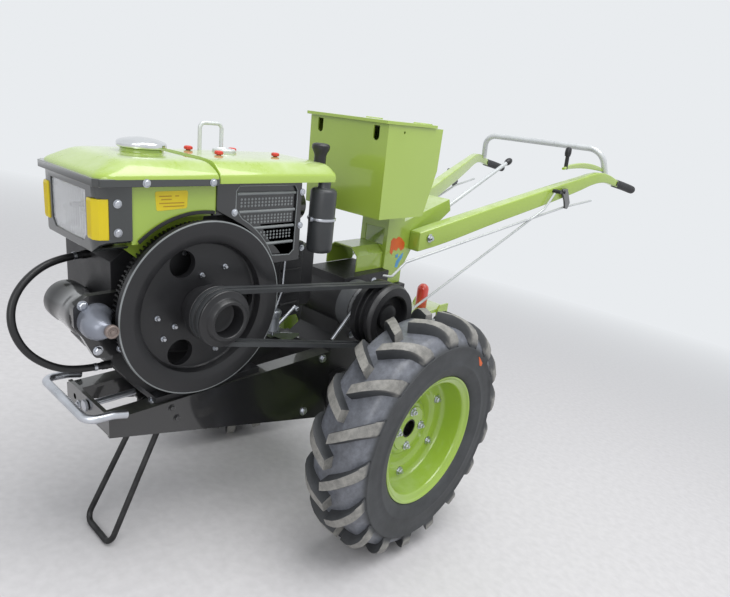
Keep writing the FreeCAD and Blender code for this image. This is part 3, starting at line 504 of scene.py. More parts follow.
def makeScrewTree():
    # a washer, a head with a chamfer and a stud's end at each point, facing along its own direction
    tree, given = startTree("screwHeads", {"Head sides": "Int", "Head radius": "Float", "Head height": "Float",
                                           "Washer radius": "Float", "Stud length": "Float"})
    sides, head, height = given["Head sides"], given["Head radius"], given["Head height"]
    stud = given["Stud length"]
    shares = {}
    for name, size, share in (("washer", height, 0.3), ("washerMiddle", height, 0.15), ("headMiddle", height, 0.5),
                              ("headTop", head, 0.78), ("chamfer", height, 0.22), ("studRadius", head, 0.5),
                              ("studRise", stud, 0.4)):
        shares[name] = addNode(tree, "ShaderNodeMath", {"operation": "MULTIPLY", 0: size, 1: share})
    studMiddle = addNode(tree, "ShaderNodeMath", {"operation": "ADD", 0: height, 1: shares["studRise"]})
    whole = addNode(tree, "GeometryNodeJoinGeometry")
    for kind, sizes, middle in (
            ("Cylinder", {"Vertices": 20, "Radius": given["Washer radius"], "Depth": shares["washer"]},
             shares["washerMiddle"]),
            ("Cylinder", {"Vertices": sides, "Radius": head, "Depth": height}, shares["headMiddle"]),
            ("Cone", {"Vertices": sides, "Radius Bottom": head, "Radius Top": shares["headTop"],
                      "Depth": shares["chamfer"]}, height),
            ("Cylinder", {"Vertices": 12, "Radius": shares["studRadius"], "Depth": stud}, studMiddle)):
        mesh = addNode(tree, "GeometryNodeMesh" + kind, sizes)
        lift = addNode(tree, "ShaderNodeCombineXYZ", {"Z": middle})
        part = addNode(tree, "GeometryNodeTransform", {"Geometry": mesh, "Translation": lift})
        tree.links.new(part.outputs[0], whole.inputs[0])
    facing = addNode(tree, "GeometryNodeInputNamedAttribute", {"data_type": "FLOAT_VECTOR", "Name": "facing"})
    size = addNode(tree, "GeometryNodeInputNamedAttribute", {"data_type": "FLOAT", "Name": "size"})
    aim = addNode(tree, "FunctionNodeAlignRotationToVector", {"axis": "Z", "Vector": facing})
    places = addNode(tree, "GeometryNodeMeshToPoints", {"Mesh": given["Geometry"]})
    copies = addNode(tree, "GeometryNodeInstanceOnPoints", {"Points": places, "Instance": whole,
                                                            "Rotation": aim, "Scale": size})
    return endTree(tree, copies, given["Finish"])


ringTree = makeRingTree()
screwTree = makeScrewTree()


def ringForm(bm, copies, centre, finish):
    # bm is drawn about the origin and comes back as a whole ring of copies about the centre
    mesh = bpy.data.meshes.new("copy")
    bm.to_mesh(mesh)
    bm.free()
    ring = grow(ringTree, mesh, {"Copies": copies, "Step": math.radians(360.0 / copies),
                                 "Finish": finishes[finish]})
    ring.transform(Matrix.Translation(centre))
    result = bmesh.new()
    result.from_mesh(ring)
    return result


def screws(name, finish, places, body="chassis", sides=6, radius=6.5, height=5.0, washer=9.5, stud=0.0):
    # places are (x, y, z, facing, size), in the tractor's millimetres
    mesh = bpy.data.meshes.new(name)
    mesh.from_pydata([parkedPoint(*place[:3]) for place in places], [], [])
    mesh.attributes.new("facing", "FLOAT_VECTOR", "POINT")
    mesh.attributes.new("size", "FLOAT", "POINT")
    for i, place in enumerate(places):
        mesh.attributes["facing"].data[i].vector = parkedAxis(*place[3])
        mesh.attributes["size"].data[i].value = place[4] if len(place) > 4 else 1.0
    grown = grow(screwTree, mesh, {"Head sides": sides, "Head radius": radius / 1000, "Head height": height / 1000,
                                   "Washer radius": washer / 1000, "Stud length": stud / 1000,
                                   "Finish": finishes[finish]})
    grown.name = name
    grown.shade_smooth()
    grown.set_sharp_from_angle(angle=math.radians(30))
    addPiece(name, grown, body)


print("tools ready")

# Wheels: deep agricultural tyres on dished green rims
wheel = {"track": 700.0, "axleZ": 320.0, "lugCount": 17, "firstLug": 179.59, "lugLean": 58.0, "tyreHalf": 82.5,
         "paintMarkFace": 430.6}
boltCircles = [  # count, radius, first angle, distance from the tractor's middle
    (6, 124.0, 156.7, 344.2), (4, 48.0, 96.5, 346.8)]
carcassProfile = [  # radius, distance from the tyre's middle
    (172.5, 62), (174, 68), (180, 74), (190, 78.5), (201, 80.6), (204, 82.3), (208, 82.3), (211, 80.9), (222, 81.6),
    (236, 81.6), (248, 80.6), (251, 82.3), (255.5, 82.3), (258, 79.2), (265, 74.8), (273, 70), (281, 63.5),
    (287, 56.5), (290, 46), (291.5, 28), (292, 0)]
lugStations = [  # distance and radius of a bar's top, then of its root, and its half width there
    (-4, 319.5, 284, 13.5), (8, 320, 284, 14.5), (30, 320, 283, 15), (48, 315.5, 281, 15.5), (60, 309, 278, 16),
    (71, 301, 272, 16.5), (78, 291, 264, 17), (81.8, 277, 259, 16.5), (82.2, 265, 256, 15), (80, 257, 253, 12)]
lugSection = [  # share of the half width, share of the height
    (-1.2, 0), (-1.08, 0.45), (-1, 0.9), (-0.86, 1), (0.86, 1), (1, 0.9), (1.08, 0.45), (1.2, 0)]
rimProfile = [
    (172.5, 66), (171.9, 68), (169.9, 68.6), (167.6, 67.8), (165.8, 65.4), (164.4, 63.4), (158, 61.4), (154, 60.2),
    (151.6, 57.6), (150.6, 52), (150, 30), (148.8, 8), (146, 0), (140, -4), (133.5, -5.5), (113, -6), (109, -8),
    (105.5, -12.8), (100, -14.8), (80, -14.8), (75.5, -12.8), (72, -8.6), (67, -7), (60.4, -7), (60.4, -18),
    (148, -17.4), (152.8, -34), (164.5, -66), (169.5, -68), (172.5, -66)]
hubProfile = [  # radius, distance from the tractor's middle, and so for the shaft
    (25, 322), (78, 322), (79, 324), (79, 331), (78, 333), (63, 334), (62, 336), (61.5, 345), (60, 346.5),
    (27, 347), (25.6, 346.4), (25, 345)]
shaftProfile = [
    (0, 120), (20, 120), (20, 226), (33, 226), (34, 228), (34, 318), (40, 322), (24.9, 323), (24.9, 345.8),
    (21.5, 345.8), (21, 328), (0, 327)]


def lugForm(bm, side, turnDegrees):
    # one bar of the tread, wrapped round the wheel as it leans back to the shoulder
    rings = []
    for y, top, root, half in lugStations:
        lean = -wheel["lugLean"] * (max(y, 0) / wheel["tyreHalf"]) ** 1.08 - min(y, 0) * 0.7
        ring = []
        for across, share in lugSection:
            radius = root + (top - root) * share
            outward = y if share > 0.5 else min(y, 80.0)
            angle = math.radians(turnDegrees) + (lean + across * half) / radius
            ring.append(Vector((radius * math.sin(angle), side * outward, radius * math.cos(angle))))
        rings.append(ring)
    loftForm(bm, rings)


for side, label in ((1, "left"), (-1, "right")):
    middle = side * wheel["track"] / 2
    body = "wheel_" + label
    axle = (0, 0, wheel["axleZ"])
    pair = bmesh.new()
    lugForm(pair, 1, wheel["firstLug"])
    lugForm(pair, -1, wheel["firstLug"] + 180.0 / wheel["lugCount"])
    if side < 0:
        for vert in pair.verts:
            vert.co.y = -vert.co.y
    lugs = ringForm(pair, wheel["lugCount"], (0, middle, wheel["axleZ"]), "lugRubber")
    finishPiece("tyre_lugs_" + label, lugs, "lugRubber", "tyre_" + label, body, sharp=40)
    carcass = [(r, middle + y) for r, y in carcassProfile + [(r, -y) for r, y in reversed(carcassProfile[:-1])]]
    makePiece("tyre_" + label + "_dressed", "tyreRubber", [(turnedForm, carcass, axle, "Y", 120, True)],
              body=body, sharp=40)
    rim = [(r, middle + side * y) for r, y in rimProfile]
    makePiece("rim_" + label + "_dressed", "rimEnamel", [(turnedForm, rim, axle, "Y", 96, True)], body=body, sharp=50)
    hub, shaft = ([(r, side * y) for r, y in profile] for profile in (hubProfile, shaftProfile))
    makePiece("hub_" + label, "rimEnamel", [(turnedForm, hub, axle, "Y", 64, True)], body=body)
    makePiece("axle_shaft_" + label, "darkSteel", [(turnedForm, shaft, axle, "Y", 40)], "axle_" + label, body=body)
    bolts = [(radius, side * depth, math.radians(first + 360.0 * i / count))
             for count, radius, first, depth in boltCircles for i in range(count)]
    screws("wheel_bolts_" + label, "zincPlate", [(r * math.cos(a), y, wheel["axleZ"] + r * math.sin(a), (0, side, 0))
                                                 for r, y, a in bolts], body, radius=8.5, height=8, washer=12, stud=6)
    valve = [(150, side * 360, 320), (146, side * 384, 320), (140, side * 396, 320)]
    makePiece("valve_" + label, "blackPlastic", [(rodForm, valve, 3.2, 8)], body=body, slot="rubber_black")
paintMark = roundedLoop([(-147, 518), (-140, 523), (-153, 493), (-163, 489), (-166, 497)], 2)
makePiece("tyre_paint_mark", "labelOrange", [
    (plateForm, [paintMark], "Y", wheel["paintMarkFace"], wheel["paintMarkFace"] + 1.5)], body="wheel_left")
print("wheels made")

# Chassis frame, bumper, stand and the engine's sliding adjuster
dressNode("chassis_frame", "frame", "blackEnamel", 1.6)
makePiece("bumper_dressed", "zincPlate", [(
    rodForm, [(636, 107, 470), (664, 107, 477), (712, 107, 480), (712, -107, 480), (664, -107, 477), (636, -107, 470)],
    8.4, 26.0, 20)], "bumper_bar")
makePiece("adjuster_dressed", "zincPlate", [
    (rodForm, [(566, 0, 452), (666, 0, 452)], 7),
    (turnedForm, [(0, 668), (9, 668), (11, 669.5), (13, 670), (13, 675), (11, 676), (0, 676)], (0, 0, 452), "X", 6)],
    "engine_adjuster")
stand = {"radius": 6.5, "bend": 22.0, "pivot": (522.0, 398.0), "foot": (656.0, 128.15), "half": 44}
(pivotX, pivotZ), (footX, footZ) = stand["pivot"], stand["foot"]
makePiece("stand_dressed", "darkSteel", [
    (rodForm, [(pivotX + 2, stand["half"], pivotZ - 6), (footX, 58, footZ), (footX, -58, footZ),
               (pivotX + 2, -stand["half"], pivotZ - 6)], stand["radius"], stand["bend"])]
    + [(turnedForm, [(8.8, y - 8), (13, y - 8), (14, y - 7), (14, y + 7), (13, y + 8), (8.8, y + 8)],
        (pivotX, 0, pivotZ), "Y", 32, True) for y in (stand["half"], -stand["half"])], "front_stand", body="stand")

# Engine: iron castings with sanded edges, and what hangs on them
flywheel = {"x": 481.0, "z": 672.0, "holeRadius": 28.0, "holePlace": 103.0, "holeAngles": (-64, 66, 181),
            "teeth": 116}
spinX, spinZ = flywheel["x"], flywheel["z"]
spin = (spinX, 0, spinZ)
for name, bevel in (("engine_block", 5.0), ("gear_cover", 6.0), ("cylinder_head", 4.0), ("rocker_cover", 7.0)):
    dressNode(name, name, "blackCasting", bevel, 3)
makePiece("crankcase_ribs", "blackCasting",
          [(plateForm, [[(x - 3, 520), (x + 3, 520), (x + 3, 780), (x - 3, 780)]], "Y", 60, 68) for x in (262, 290, 318)]
          + [(plateForm, [[(166, z - 3), (226, z - 3), (226, z + 3), (166, z + 3)]], "Y", 60, 66)
             for z in (612, 640, 700, 728)]
          + [(turnedForm, [(0, 60), (118, 60), (118, 70), (112, 74), (0, 74)], spin)], bevel=1.5)
print("engine castings made")


# Flywheel with its ring gear, and the drive pulley on it
def aroundSpin(radius, degrees):
    turned = math.radians(degrees)
    return spinX + radius * math.cos(turned), spinZ + radius * math.sin(turned)


holes = [arcLoop(*aroundSpin(flywheel["holePlace"], a), flywheel["holeRadius"], steps=28)
         for a in flywheel["holeAngles"]]
makePiece("flywheel_dressed", "machinedIron", [
    (turnedForm, [(137, 94), (150, 92), (152, 98), (158, 98), (158, 124), (160, 126), (181, 126), (182, 127),
                  (182, 138.6), (180.8, 140), (156, 140), (152, 139), (142, 136.5), (138, 134), (135.5, 127),
                  (134.5, 119), (132.5, 116.5), (131, 116), (131, 100), (137, 100)], spin, "Y", 144, True),
    (plateForm, [arcLoop(spinX, spinZ, 132.4, steps=96)] + holes, "Y", 100, 116),
    (turnedForm, [(0, 40), (25, 40), (25, 92), (60, 96), (60, 116), (0, 117)], spin, "Y", 48)],
    body="flywheel_group", sharp=30)
# a thin grey ring on the flywheel's outer edge: a painted highlight of its lit rim
makePiece("flywheel_edge", "greyEdge", [
    (turnedForm, [(181.9, 138.4), (182.35, 138.6), (182.2, 139.7), (181, 140.3), (179.6, 140.3), (179.6, 139.9),
                  (181, 139.9)], spin, "Y", 144, True)], body="flywheel_group", slot="cast_black")
tooth = bmesh.new()
plateForm(tooth, [[(-2.9, 168.5), (2.9, 168.5), (1.5, 175), (-1.5, 175)]], "Y", 98, 112)
gear = ringForm(tooth, flywheel["teeth"], spin, "darkSteel")
turnedForm(gear, [(158, 98), (169, 98), (169, 112), (158, 112)], spin, "Y", 116, True)
finishPiece("ring_gear", gear, "darkSteel", body="flywheel_group", slot="cast_black", sharp=25)

grooveMiddles = (176.5, 193.5)


def grooved(outer, floor, first, last):
    # a pulley's rim: a round shouldered land each side of every groove
    points = [(outer - 3, first), (outer, first + 1.5)]
    for y in grooveMiddles:
        points += [(outer, y - 8.6), (outer - 0.8, y - 7.8), (floor, y - 5.4), (floor, y + 5.4),
                   (outer - 0.8, y + 7.8), (outer, y + 8.6)]
    return points + [(outer, last - 1.5), (outer - 1.5, last)]


makePiece("drive_pulley_dressed", "machinedIron", [
    (turnedForm, [(0, 116), (42, 116), (44, 118), (44, 150)] + grooved(58, 47.1, 150, 204.6)
     + [(48, 205.6), (45, 207), (43.6, 209.5), (42, 217), (39.5, 220), (34.5, 220), (33, 218.4), (32.4, 186),
        (27, 183), (0, 182)], spin, "Y", 96)], body="flywheel_group", sharp=30)
clutch = {"x": -30.0, "z": 578.0, "beltRadius": 85.0, "driveBeltRadius": 53.0}
clutchAxis = (clutch["x"], 0, clutch["z"])
makePiece("clutch_pulley_dressed", "machinedIron", [
    (turnedForm, [(0, 110), (17, 110), (17, 140), (30, 140), (30, 150)] + grooved(90, 79.1, 150, 210)
     + [(86, 214), (84, 220), (63, 220), (60, 217), (60, 200), (56, 198), (34, 198), (32, 206), (20, 208), (0, 208)],
     clutchAxis, "Y", 96)], body="clutch_pulley_group", sharp=30)


def beltLoop(first, second, r1, r2, steps=28):
    # the line of a belt's middle round its two pulleys
    dx, dz = second[0] - first[0], second[1] - first[1]
    base = math.atan2(dz, dx)
    lead = math.acos((r1 - r2) / math.hypot(dx, dz))
    loop = []
    for (x, z), r, start, end in ((first, r1, base + lead, base - lead + math.tau),
                                  (second, r2, base - lead, base + lead)):
        for i in range(steps + 1):
            a = start + (end - start) * i / steps
            loop.append((x + r * math.cos(a), z + r * math.sin(a)))
    return loop


loop = beltLoop((spinX, spinZ), (clutch["x"], clutch["z"]), clutch["driveBeltRadius"], clutch["beltRadius"])
beltMiddle = Vector(((spinX + clutch["x"]) / 2, 0, (spinZ + clutch["z"]) / 2))
beltSection = [(-6.3, 4.6), (-5.6, 5), (5.6, 5), (6.3, 4.6), (4.6, -4.6), (-4.6, -4.6)]
belts = bmesh.new()
for y in grooveMiddles:
    rings = []
    for i, (x, z) in enumerate(loop):
        ahead, behind = loop[(i + 1) % len(loop)], loop[i - 1]
        out = Vector((ahead[1] - behind[1], 0, behind[0] - ahead[0])).normalized()
        if out.dot(Vector((x, 0, z)) - beltMiddle) < 0:
            out = -out
        rings.append([Vector((x, y + w, z)) + out * d for w, d in beltSection])
    loftForm(belts, rings, closed=True)
finishPiece("belts_dressed", belts, "beltRubber", "v_belts", sharp=30)
makePiece("flywheel_shroud", "limeEnamel", [  # the pressed plate that shows between the arch and the ring gear
    (plateForm, [arcLoop(spinX, spinZ, 150, 96, 42, 20) + [(626, 800), (648, 812), (648, 862), (456, 862)]],
     "Y", 83, 85)], bevel=0.5)
makePiece("arch_edging", "blackPlastic", [
    (sweptForm, [(x, 115.2, z) for x, z in arcLoop(spinX, spinZ, 193.5, 98, 48, 28)],
     [(4.5, 0.2), (3.6, 1.6), (-1.6, 1.6), (-2.6, 0.4), (-2.6, -5.5), (4.5, -0.4)], False, (0, 1, 0))],
    slot="black_paint")
print("flywheel, pulleys and belts made")

# Starter motor, bracket and stud
starter = {"x": 678, "z": 668}
starterAxis = (starter["x"], 0, starter["z"])
makePiece("starter_dressed", "blackEnamel", [
    (turnedForm, [(0, -60), (37, -60), (40, -57), (40, -30), (38.6, -28), (38.6, 30), (40, 32), (40, 66), (36, 72),
                  (33, 78), (33, 79), (0, 79)], starterAxis),
    (plateForm, [roundedLoop([(620, 592), (656, 588), (680, 590), (700, 634), (716, 660), (716, 700), (690, 716),
                              (620, 716)], 12)], "Y", 62, 78)], "starter_motor")
noseRings = [  # distance, offset away from the ring gear, radius
    (77, 0, 32), (78, 0, 33), (87, 0, 32.6), (92, 2, 31), (97, 7, 28.4), (104, 9, 27), (113, 10.5, 25),
    (122, 11.5, 22.4), (131, 11, 18.5), (138, 9, 14.5), (140.5, 6.5, 12)]
makePiece("starter_nose", "noseAluminium", [
    (loftForm, [[Vector((a, y, b)) for a, b in arcLoop(starter["x"] + offset, starter["z"], radius, steps=48)]
                for y, offset, radius in noseRings])])
makePiece("starter_stud", "brownIron", [
    (turnedForm, [(0, 139), (9, 139.2), (12, 141.5), (12.4, 143), (12.4, 149), (11.2, 150.6), (9, 150.6),
                  (8.2, 148.8), (4, 148.7), (3.6, 151), (0, 151.4)], starterAxis, "Y", 40)])

# Fuel tank and rear bonnet: pressed covers with soft upper edges
cover = {"half": 130.0, "seam": 453.0, "nose": 686.0, "rear": 130.0}
coverLevels = [  # height, inset at the sides, in front, behind
    (932, 0, 0, 0), (936, 0.4, 1.2, 0), (939.5, 2, 4.6, 0.4), (943, 5, 10, 1.2), (947, 9.4, 17, 2.6),
    (951, 14, 24.4, 4.4), (955, 18.8, 32, 7), (958.6, 23.6, 39, 10), (961.2, 28.6, 46, 13.6), (963, 36, 55, 19),
    (964.2, 49, 70, 27), (965, 74, 96, 40)]


def coverForm(bm, x0, x1, levels, frontBend, rearBend):
    rings = []
    for z, side, front, rear in levels:
        ring = []
        for signX, signY, start in ((1, 1, 0), (-1, 1, 90), (-1, -1, 180), (1, -1, 270)):
            x, bend = (x1 - front, frontBend) if signX > 0 else (x0 + rear, rearBend)
            y = cover["half"] - side - bend
            ring += [Vector((a, b, z)) for a, b in arcLoop(x - signX * bend, signY * y, bend, start, start + 90, 8)]
        rings.append(ring)
    loftForm(bm, rings)


makePiece("tank_dressed", "limeEnamel", [
    (coverForm, cover["seam"] + 1, cover["nose"], coverLevels, 30, 3), (blockForm, 455, 650, -104, 104, 856, 933)],
    "fuel_tank")
rearLevels = [(923, 0, 0, 0)] + [(z, side, 0, rear * 1.1) for z, side, front, rear in coverLevels[1:]]
makePiece("bonnet_dressed", "limeEnamel", [
    (coverForm, cover["rear"], cover["seam"] - 1.5, rearLevels, 3, 12)], "rear_bonnet")
filler = (545, 0, 0)
makePiece("filler_neck_dressed", "limeEnamel", [
    (turnedForm, [(39, 956), (46, 963.6), (41, 966), (40, 968), (40, 972), (38, 973), (0, 973)], filler, "Z", 48)])
makePiece("fuel_cap_dressed", "chromePlate", [
    (turnedForm, [(0, 973), (43, 973), (45.6, 974.5), (46, 976), (46, 981), (45.4, 983), (43, 985.4), (36, 988.2),
                  (24, 990.8), (12, 992.4), (0, 993)], filler, "Z", 72)])
makePiece("radiator_cap", "silverPaint", [
    (turnedForm, [(24, 964), (26, 964.5), (26, 970), (24, 972.5), (20, 973), (18, 970.5), (0, 970.5)],
     (330, -40, 0), "Z", 40)], "bonnet_fittings", slot="red_paint")
makePiece("bonnet_knobs", "redPlastic", [
    (turnedForm, [(0, 963), (5, 963.5), (5, 966), (9, 967), (9.6, 969), (9, 972.5), (6, 974), (0, 974)],
     (x, y, 0), "Z", 24) for x, y in ((384, 20), (232, 20), (300, -52), (408, -60))])
makePiece("bail_dressed", "silverPaint", [
    (rodForm, [(374, -70, 963.5), (374, -70, 1024), (318, -70, 1024), (318, -70, 963.5)], 4.5, 12)], "lifting_bail")
makePiece("intake_hood_dressed", "blackPlastic", [
    (turnedForm, [(0, 958), (14, 958), (14, 978), (16, 984), (20, 992), (21, 995), (21, 1001), (18, 1004.5),
                  (12, 1006), (0, 1006)], (150, 84, 0), "Z", 40)])
print("tank and bonnet made")

# Lamp surround, headlamp and amber side lamps
dressNode("lamp_surround", "surround", "stripEnamel", 1.2)
lamp = {"front": 684.0, "flutes": 15, "middleZ": 866, "half": 75, "lowHalf": 61, "low": 816.5, "high": 906.5}
lensEdge = roundedLoop([(-75, 830), (-61, 816), (61, 816), (75, 830), (75, 907), (-75, 907)], 5)
bowlRings = [  # distance, width share and height share of the lens
    (x, share, 0.15 + 0.85 * share) for x, share in ((682, 1.0), (676, 0.97), (668, 0.84), (662, 0.62), (659, 0.36),
                                                     (658, 0.12))] + [(657, 0.1, 0.2)]
bowlPoints = [[Vector((x, y * wide, lamp["middleZ"] + (z - lamp["middleZ"]) * tall)) for y, z in lensEdge]
              for x, wide, tall in bowlRings]
bowl = bmesh.new()
loftForm(bowl, bowlPoints[:-1], capped=False)
bowl.faces.new([bowl.verts.new(p) for p in bowlPoints[-1]])
finishPiece("lamp_reflector", bowl, "reflector")
makePiece("lamp_bulb", "clearLens", [
    (turnedForm, [(0, 680), (3, 679), (5, 676), (5.5, 672), (4, 667), (6, 664), (6, 658), (0, 658)],
     (0, 0, 868), "X", 24)])
across = 4 * lamp["flutes"]
rings = []
for level in range(9):
    z = lamp["low"] + (lamp["high"] - lamp["low"]) * level / 8
    half = lamp["half"] if z > 830 else lamp["lowHalf"] + (z - 816)
    row = [half * (2 * i / across - 1) for i in range(across + 1)]
    rings.append([Vector((lamp["front"] - 0.6 + 0.6 * math.cos(math.pi * y / 75), y, z)) for y in row]
                 + [Vector((lamp["front"] - 3.2 + 0.06 * math.cos(math.tau * lamp["flutes"] * y / 150), y, z))
                    for y in reversed(row)])
makePiece("lamp_glass", "clearLens", [(loftForm, rings)], "headlamp")
amber = []
for side in (1, -1):
    plan = roundedLoop([(664, side * 84), (689, side * 84), (689, side * 103), (681, side * 114), (664, side * 118)], 3)
    amber.append((loftForm, [
        [Vector((664 + (x - 664) * share, side * 100 + (y - side * 100) * share, z)) for x, y in plan]
        for z, share in ((826, 0.94), (827.2, 0.985), (829, 1), (894, 1), (895.8, 0.985), (897, 0.94))]))
    amber += [(blockForm, 688.6, 689.5, y - 0.8, y + 0.8, 831, 892)
              for y in [side * (88 + 3.4 * i) for i in range(5)]]
makePiece("amber_lamps", "amberLens", amber, "marker_lamps", sharp=40)
print("lamps made")

# Left side panel with its label, and the black grille behind it
dressNode("side_panel_left", "side_panel", "limeEnamel", 0.8)
makePiece("panel_label", "labelYellow", [
    (plateForm, [roundedLoop([(513, 875), (575, 872), (578, 908), (511, 909)], 4)], "Y", 112, 112.5)])
makePiece("panel_label_marks", "labelBrown", [
    (blockForm, x0, x1, 112.3, 112.7, z - 1.1, z + 1.1)
    for z, x0, x1 in ((899, 530, 538), (899, 545, 570), (893, 545, 566), (886, 519, 570), (880, 519, 562))])
grille = {"notch": 188.5, "holeNotch": 199.0, "bars": ((899, 402), (861, 396), (825, 362), (788, 330)),
          "speckRows": ((861, 392), (825, 380), (788, 350))}
outer = ([(449, 923), (449, 868), (404.5, 845)] + arcLoop(spinX, spinZ, grille["notch"], 114.5, 158.3, 14)
         + [(222, 742), (228, 923)])
hole = ([(396, 916), (404, 906), (404, 870), (391, 852)] + arcLoop(spinX, spinZ, grille["holeNotch"], 118.5, 153.6, 12)
        + [(252, 758), (240, 768), (240, 904), (248, 916)])
makePiece("grille_dressed", "blackEnamel", [
    (plateForm, [outer], "Y", 106, 111), (plateForm, [outer, hole], "Y", 111, 116)], "grille_left", bevel=1.0)
# the light grey line round the grille's recess is a painted highlight of its lit edge; the bars are light grey strips,
# partly their own colour, partly painted highlight
makePiece("grille_bars", "greyEdge", [
    (sweptForm, [(a, 115.6, b) for a, b in hole], [(1.3, 0), (0.8, 0.9), (-0.8, 0.9), (-1.3, 0)], True, (0, 1, 0))]
    + [(rodForm, [(244, 112.4, z), (x1 - 2, 112.4, z)], 3.4, 0, 14) for z, x1 in grille["bars"]])
# grey dots for the radiator mesh seen through the perforations: partly the mesh, partly painted highlight
specks = [(x, 111, low + rise, (0, 1, 0)) for low, x1 in grille["speckRows"] for rise in (12, 19, 26)
          for x in range(252, x1, 9) if math.hypot(x - spinX, low + rise - spinZ) > grille["holeNotch"] + 5]
screws("grille_specks", "greyEdge", specks, sides=6, radius=1.9, height=0.8, washer=2.6)
print("panels made")

# Air cleaner, exhaust and small engine fittings
cleaner = (165, 122, 0)
makePiece("cleaner_dressed", "satinBlack", [
    (turnedForm, [(0, 757), (21, 757), (27, 759), (30, 764), (31, 769), (31, 900), (29, 905), (25, 908),
                  (16, 909.5), (15, 911), (15, 923), (0, 923)], cleaner, "Z")], "air_cleaner")
makePiece("cleaner_band", "zincPlate", [
    (turnedForm, [(31, 834.5), (33.6, 835), (34, 836), (34, 840), (33.6, 841), (31, 841.5)], cleaner, "Z", 64, True),
    (blockForm, 190, 204, 118, 126, 833, 843)])
dressNode("muffler", "muffler", "blackEnamel", 3.0, 3)
makePiece("engine_linkage", "zincPlate", [
    (rodForm, [(189, 80, 609), (263, 80, 552)], 4.2),
    (rodForm, [(22, 132, 590), (94, 128, 514)], 4.2),
    (rodForm, [(236, 66, 760), (236, 84, 740), (240, 86, 660), (262, 84, 600)], 3.2, 14),
    (plateForm, [[(176, 536), (262, 556), (262, 548), (214, 522), (206, 508), (196, 510), (200, 524), (176, 528)]],
     "Y", 86, 89),
    (plateForm, [[(232, 560), (292, 572), (296, 560), (262, 540), (232, 540)]], "Y", 78, 81)])
makePiece("fuel_filter", "castAluminium", [
    (turnedForm, [(0, 560), (14, 560), (17, 563), (17, 598), (20, 600), (20, 612), (16, 615), (0, 615)],
     (262, 84, 0), "Z", 32),
    (turnedForm, [(0, 740), (11, 740), (12, 742), (12, 792), (9, 795), (0, 795)], (252, 84, 0), "Z", 32)])
print("engine fittings made")

# Gearbox, axle housings and the post
for name, finish, bevel, segments in (
        ("gearbox", "blackCasting", 5.0, 3), ("axle_housing_left", "blackCasting", 1.5, 2),
        ("axle_housing_right", "blackCasting", 1.5, 2), ("handlebar_bracket", "limeEnamel", 1.6, 2),
        ("front_shield", "limeEnamel", 0.8, 2)):
    dressNode(name, name, finish, bevel, segments)
drum = {"ribs": 10, "inner": 44, "outer": 62}
drumRibs = [[(clutch["x"] + r * math.cos(math.tau * i / drum["ribs"] + turned),
              clutch["z"] + r * math.sin(math.tau * i / drum["ribs"] + turned))
             for r, turned in ((drum["inner"], -0.05), (drum["outer"], -0.04), (drum["outer"], 0.04),
                               (drum["inner"], 0.05))] for i in range(drum["ribs"])]
# the drum is a black casting; its mid grey is a painted reflection of the sky on its rounded top
makePiece("clutch_drum_skin", "greyCasting", [
    (turnedForm, [(66, 74), (68.4, 76), (68.4, 118), (66, 122), (62, 126.3), (42, 126.6)], clutchAxis, "Y", 72)]
    + [(plateForm, [rib], "Y", 120, 129) for rib in drumRibs])
makePiece("bracket_sticker_orange", "labelOrange", [(plateForm, [[
    (-196, 736), (-206, 744), (-218, 740), (-230, 746), (-246, 738), (-262, 724), (-262, 706), (-248, 700),
    (-236, 712), (-226, 702), (-212, 708), (-206, 692), (-196, 700)]], "Y", 52, 52.5)])
makePiece("bracket_sticker_blue", "labelBlue", [(plateForm, [patch], "Y", 52, 52.5) for patch in (
    [(-248, 686), (-262, 694), (-258, 676), (-246, 664), (-240, 648), (-228, 652), (-232, 670)],
    [(-226, 690), (-238, 692), (-238, 682), (-226, 680)])])

# Handlebars, grips and hoop
barSections = [  # x, y, z, half width, half depth
    (-282, 70, 731.4, 15, 24), (-284, 70.5, 731.9, 19, 28.6), (-288, 71.4, 732.7, 19.8, 29.7),
    (-292, 72.4, 733.5, 20, 30), (-600, 146.6, 816, 19, 29), (-900, 218.8, 896, 17, 26), (-1010, 245.2, 926, 15, 23),
    (-1060, 257.3, 941, 14, 21), (-1105, 268, 949.5, 14, 19), (-1165, 279, 947, 13, 16), (-1240, 292, 930, 12.5, 12.5)]
leverSections = [
    (-840, 246, 978, 5, 4), (-870, 246, 983, 6, 7), (-900, 246, 986, 6, 8), (-1010, 250, 990, 6, 10),
    (-1120, 256, 982, 6, 8), (-1184, 260, 972, 5, 4)]


def smoothRow(rows, share):
    # a smooth curve through rows of numbers, which may be unevenly spaced
    place = share * (len(rows) - 1)
    i = min(int(place), len(rows) - 2)
    t = place - i
    before, first, last, after = rows[max(i - 1, 0)], rows[i], rows[i + 1], rows[min(i + 2, len(rows) - 1)]
    spanA, span, spanB = first[0] - before[0], last[0] - first[0], after[0] - last[0]
    result = []
    for p, a, b, q in zip(before, first, last, after):
        slopeA = ((a - p) / spanA + (b - a) / span) / 2 * span if spanA else b - a
        slopeB = ((b - a) / span + (q - b) / spanB) / 2 * span if spanB else b - a
        result.append((2 * t ** 3 - 3 * t * t + 1) * a + (t ** 3 - 2 * t * t + t) * slopeA
                      + (-2 * t ** 3 + 3 * t * t) * b + (t ** 3 - t * t) * slopeB)
    return result


def barForm(bm, sections, steps, side, cornerShare, largestCorner):
    rings = []
    for i in range(steps + 1):
        x, y, z, w, d = smoothRow(sections, i / steps)
        corner = min(largestCorner, cornerShare * w, cornerShare * d)
        rings.append([Vector((x, side * (y + a), z + b)) for a, b in boxSection(w, d, corner)])
    loftForm(bm, rings)


for side, label in ((1, "left"), (-1, "right")):
    makePiece("handlebar_" + label + "_dressed", "limeEnamel", [(barForm, barSections, 60, side, 0.75, 4.5)], sharp=50)


def gripSection(share):
    # ribs along the grip, and plain ends
    return roundSection(15.2 + 0.7 * math.cos(share * 45 * math.pi) if 0.06 < share < 0.97 else 15.4, 28)


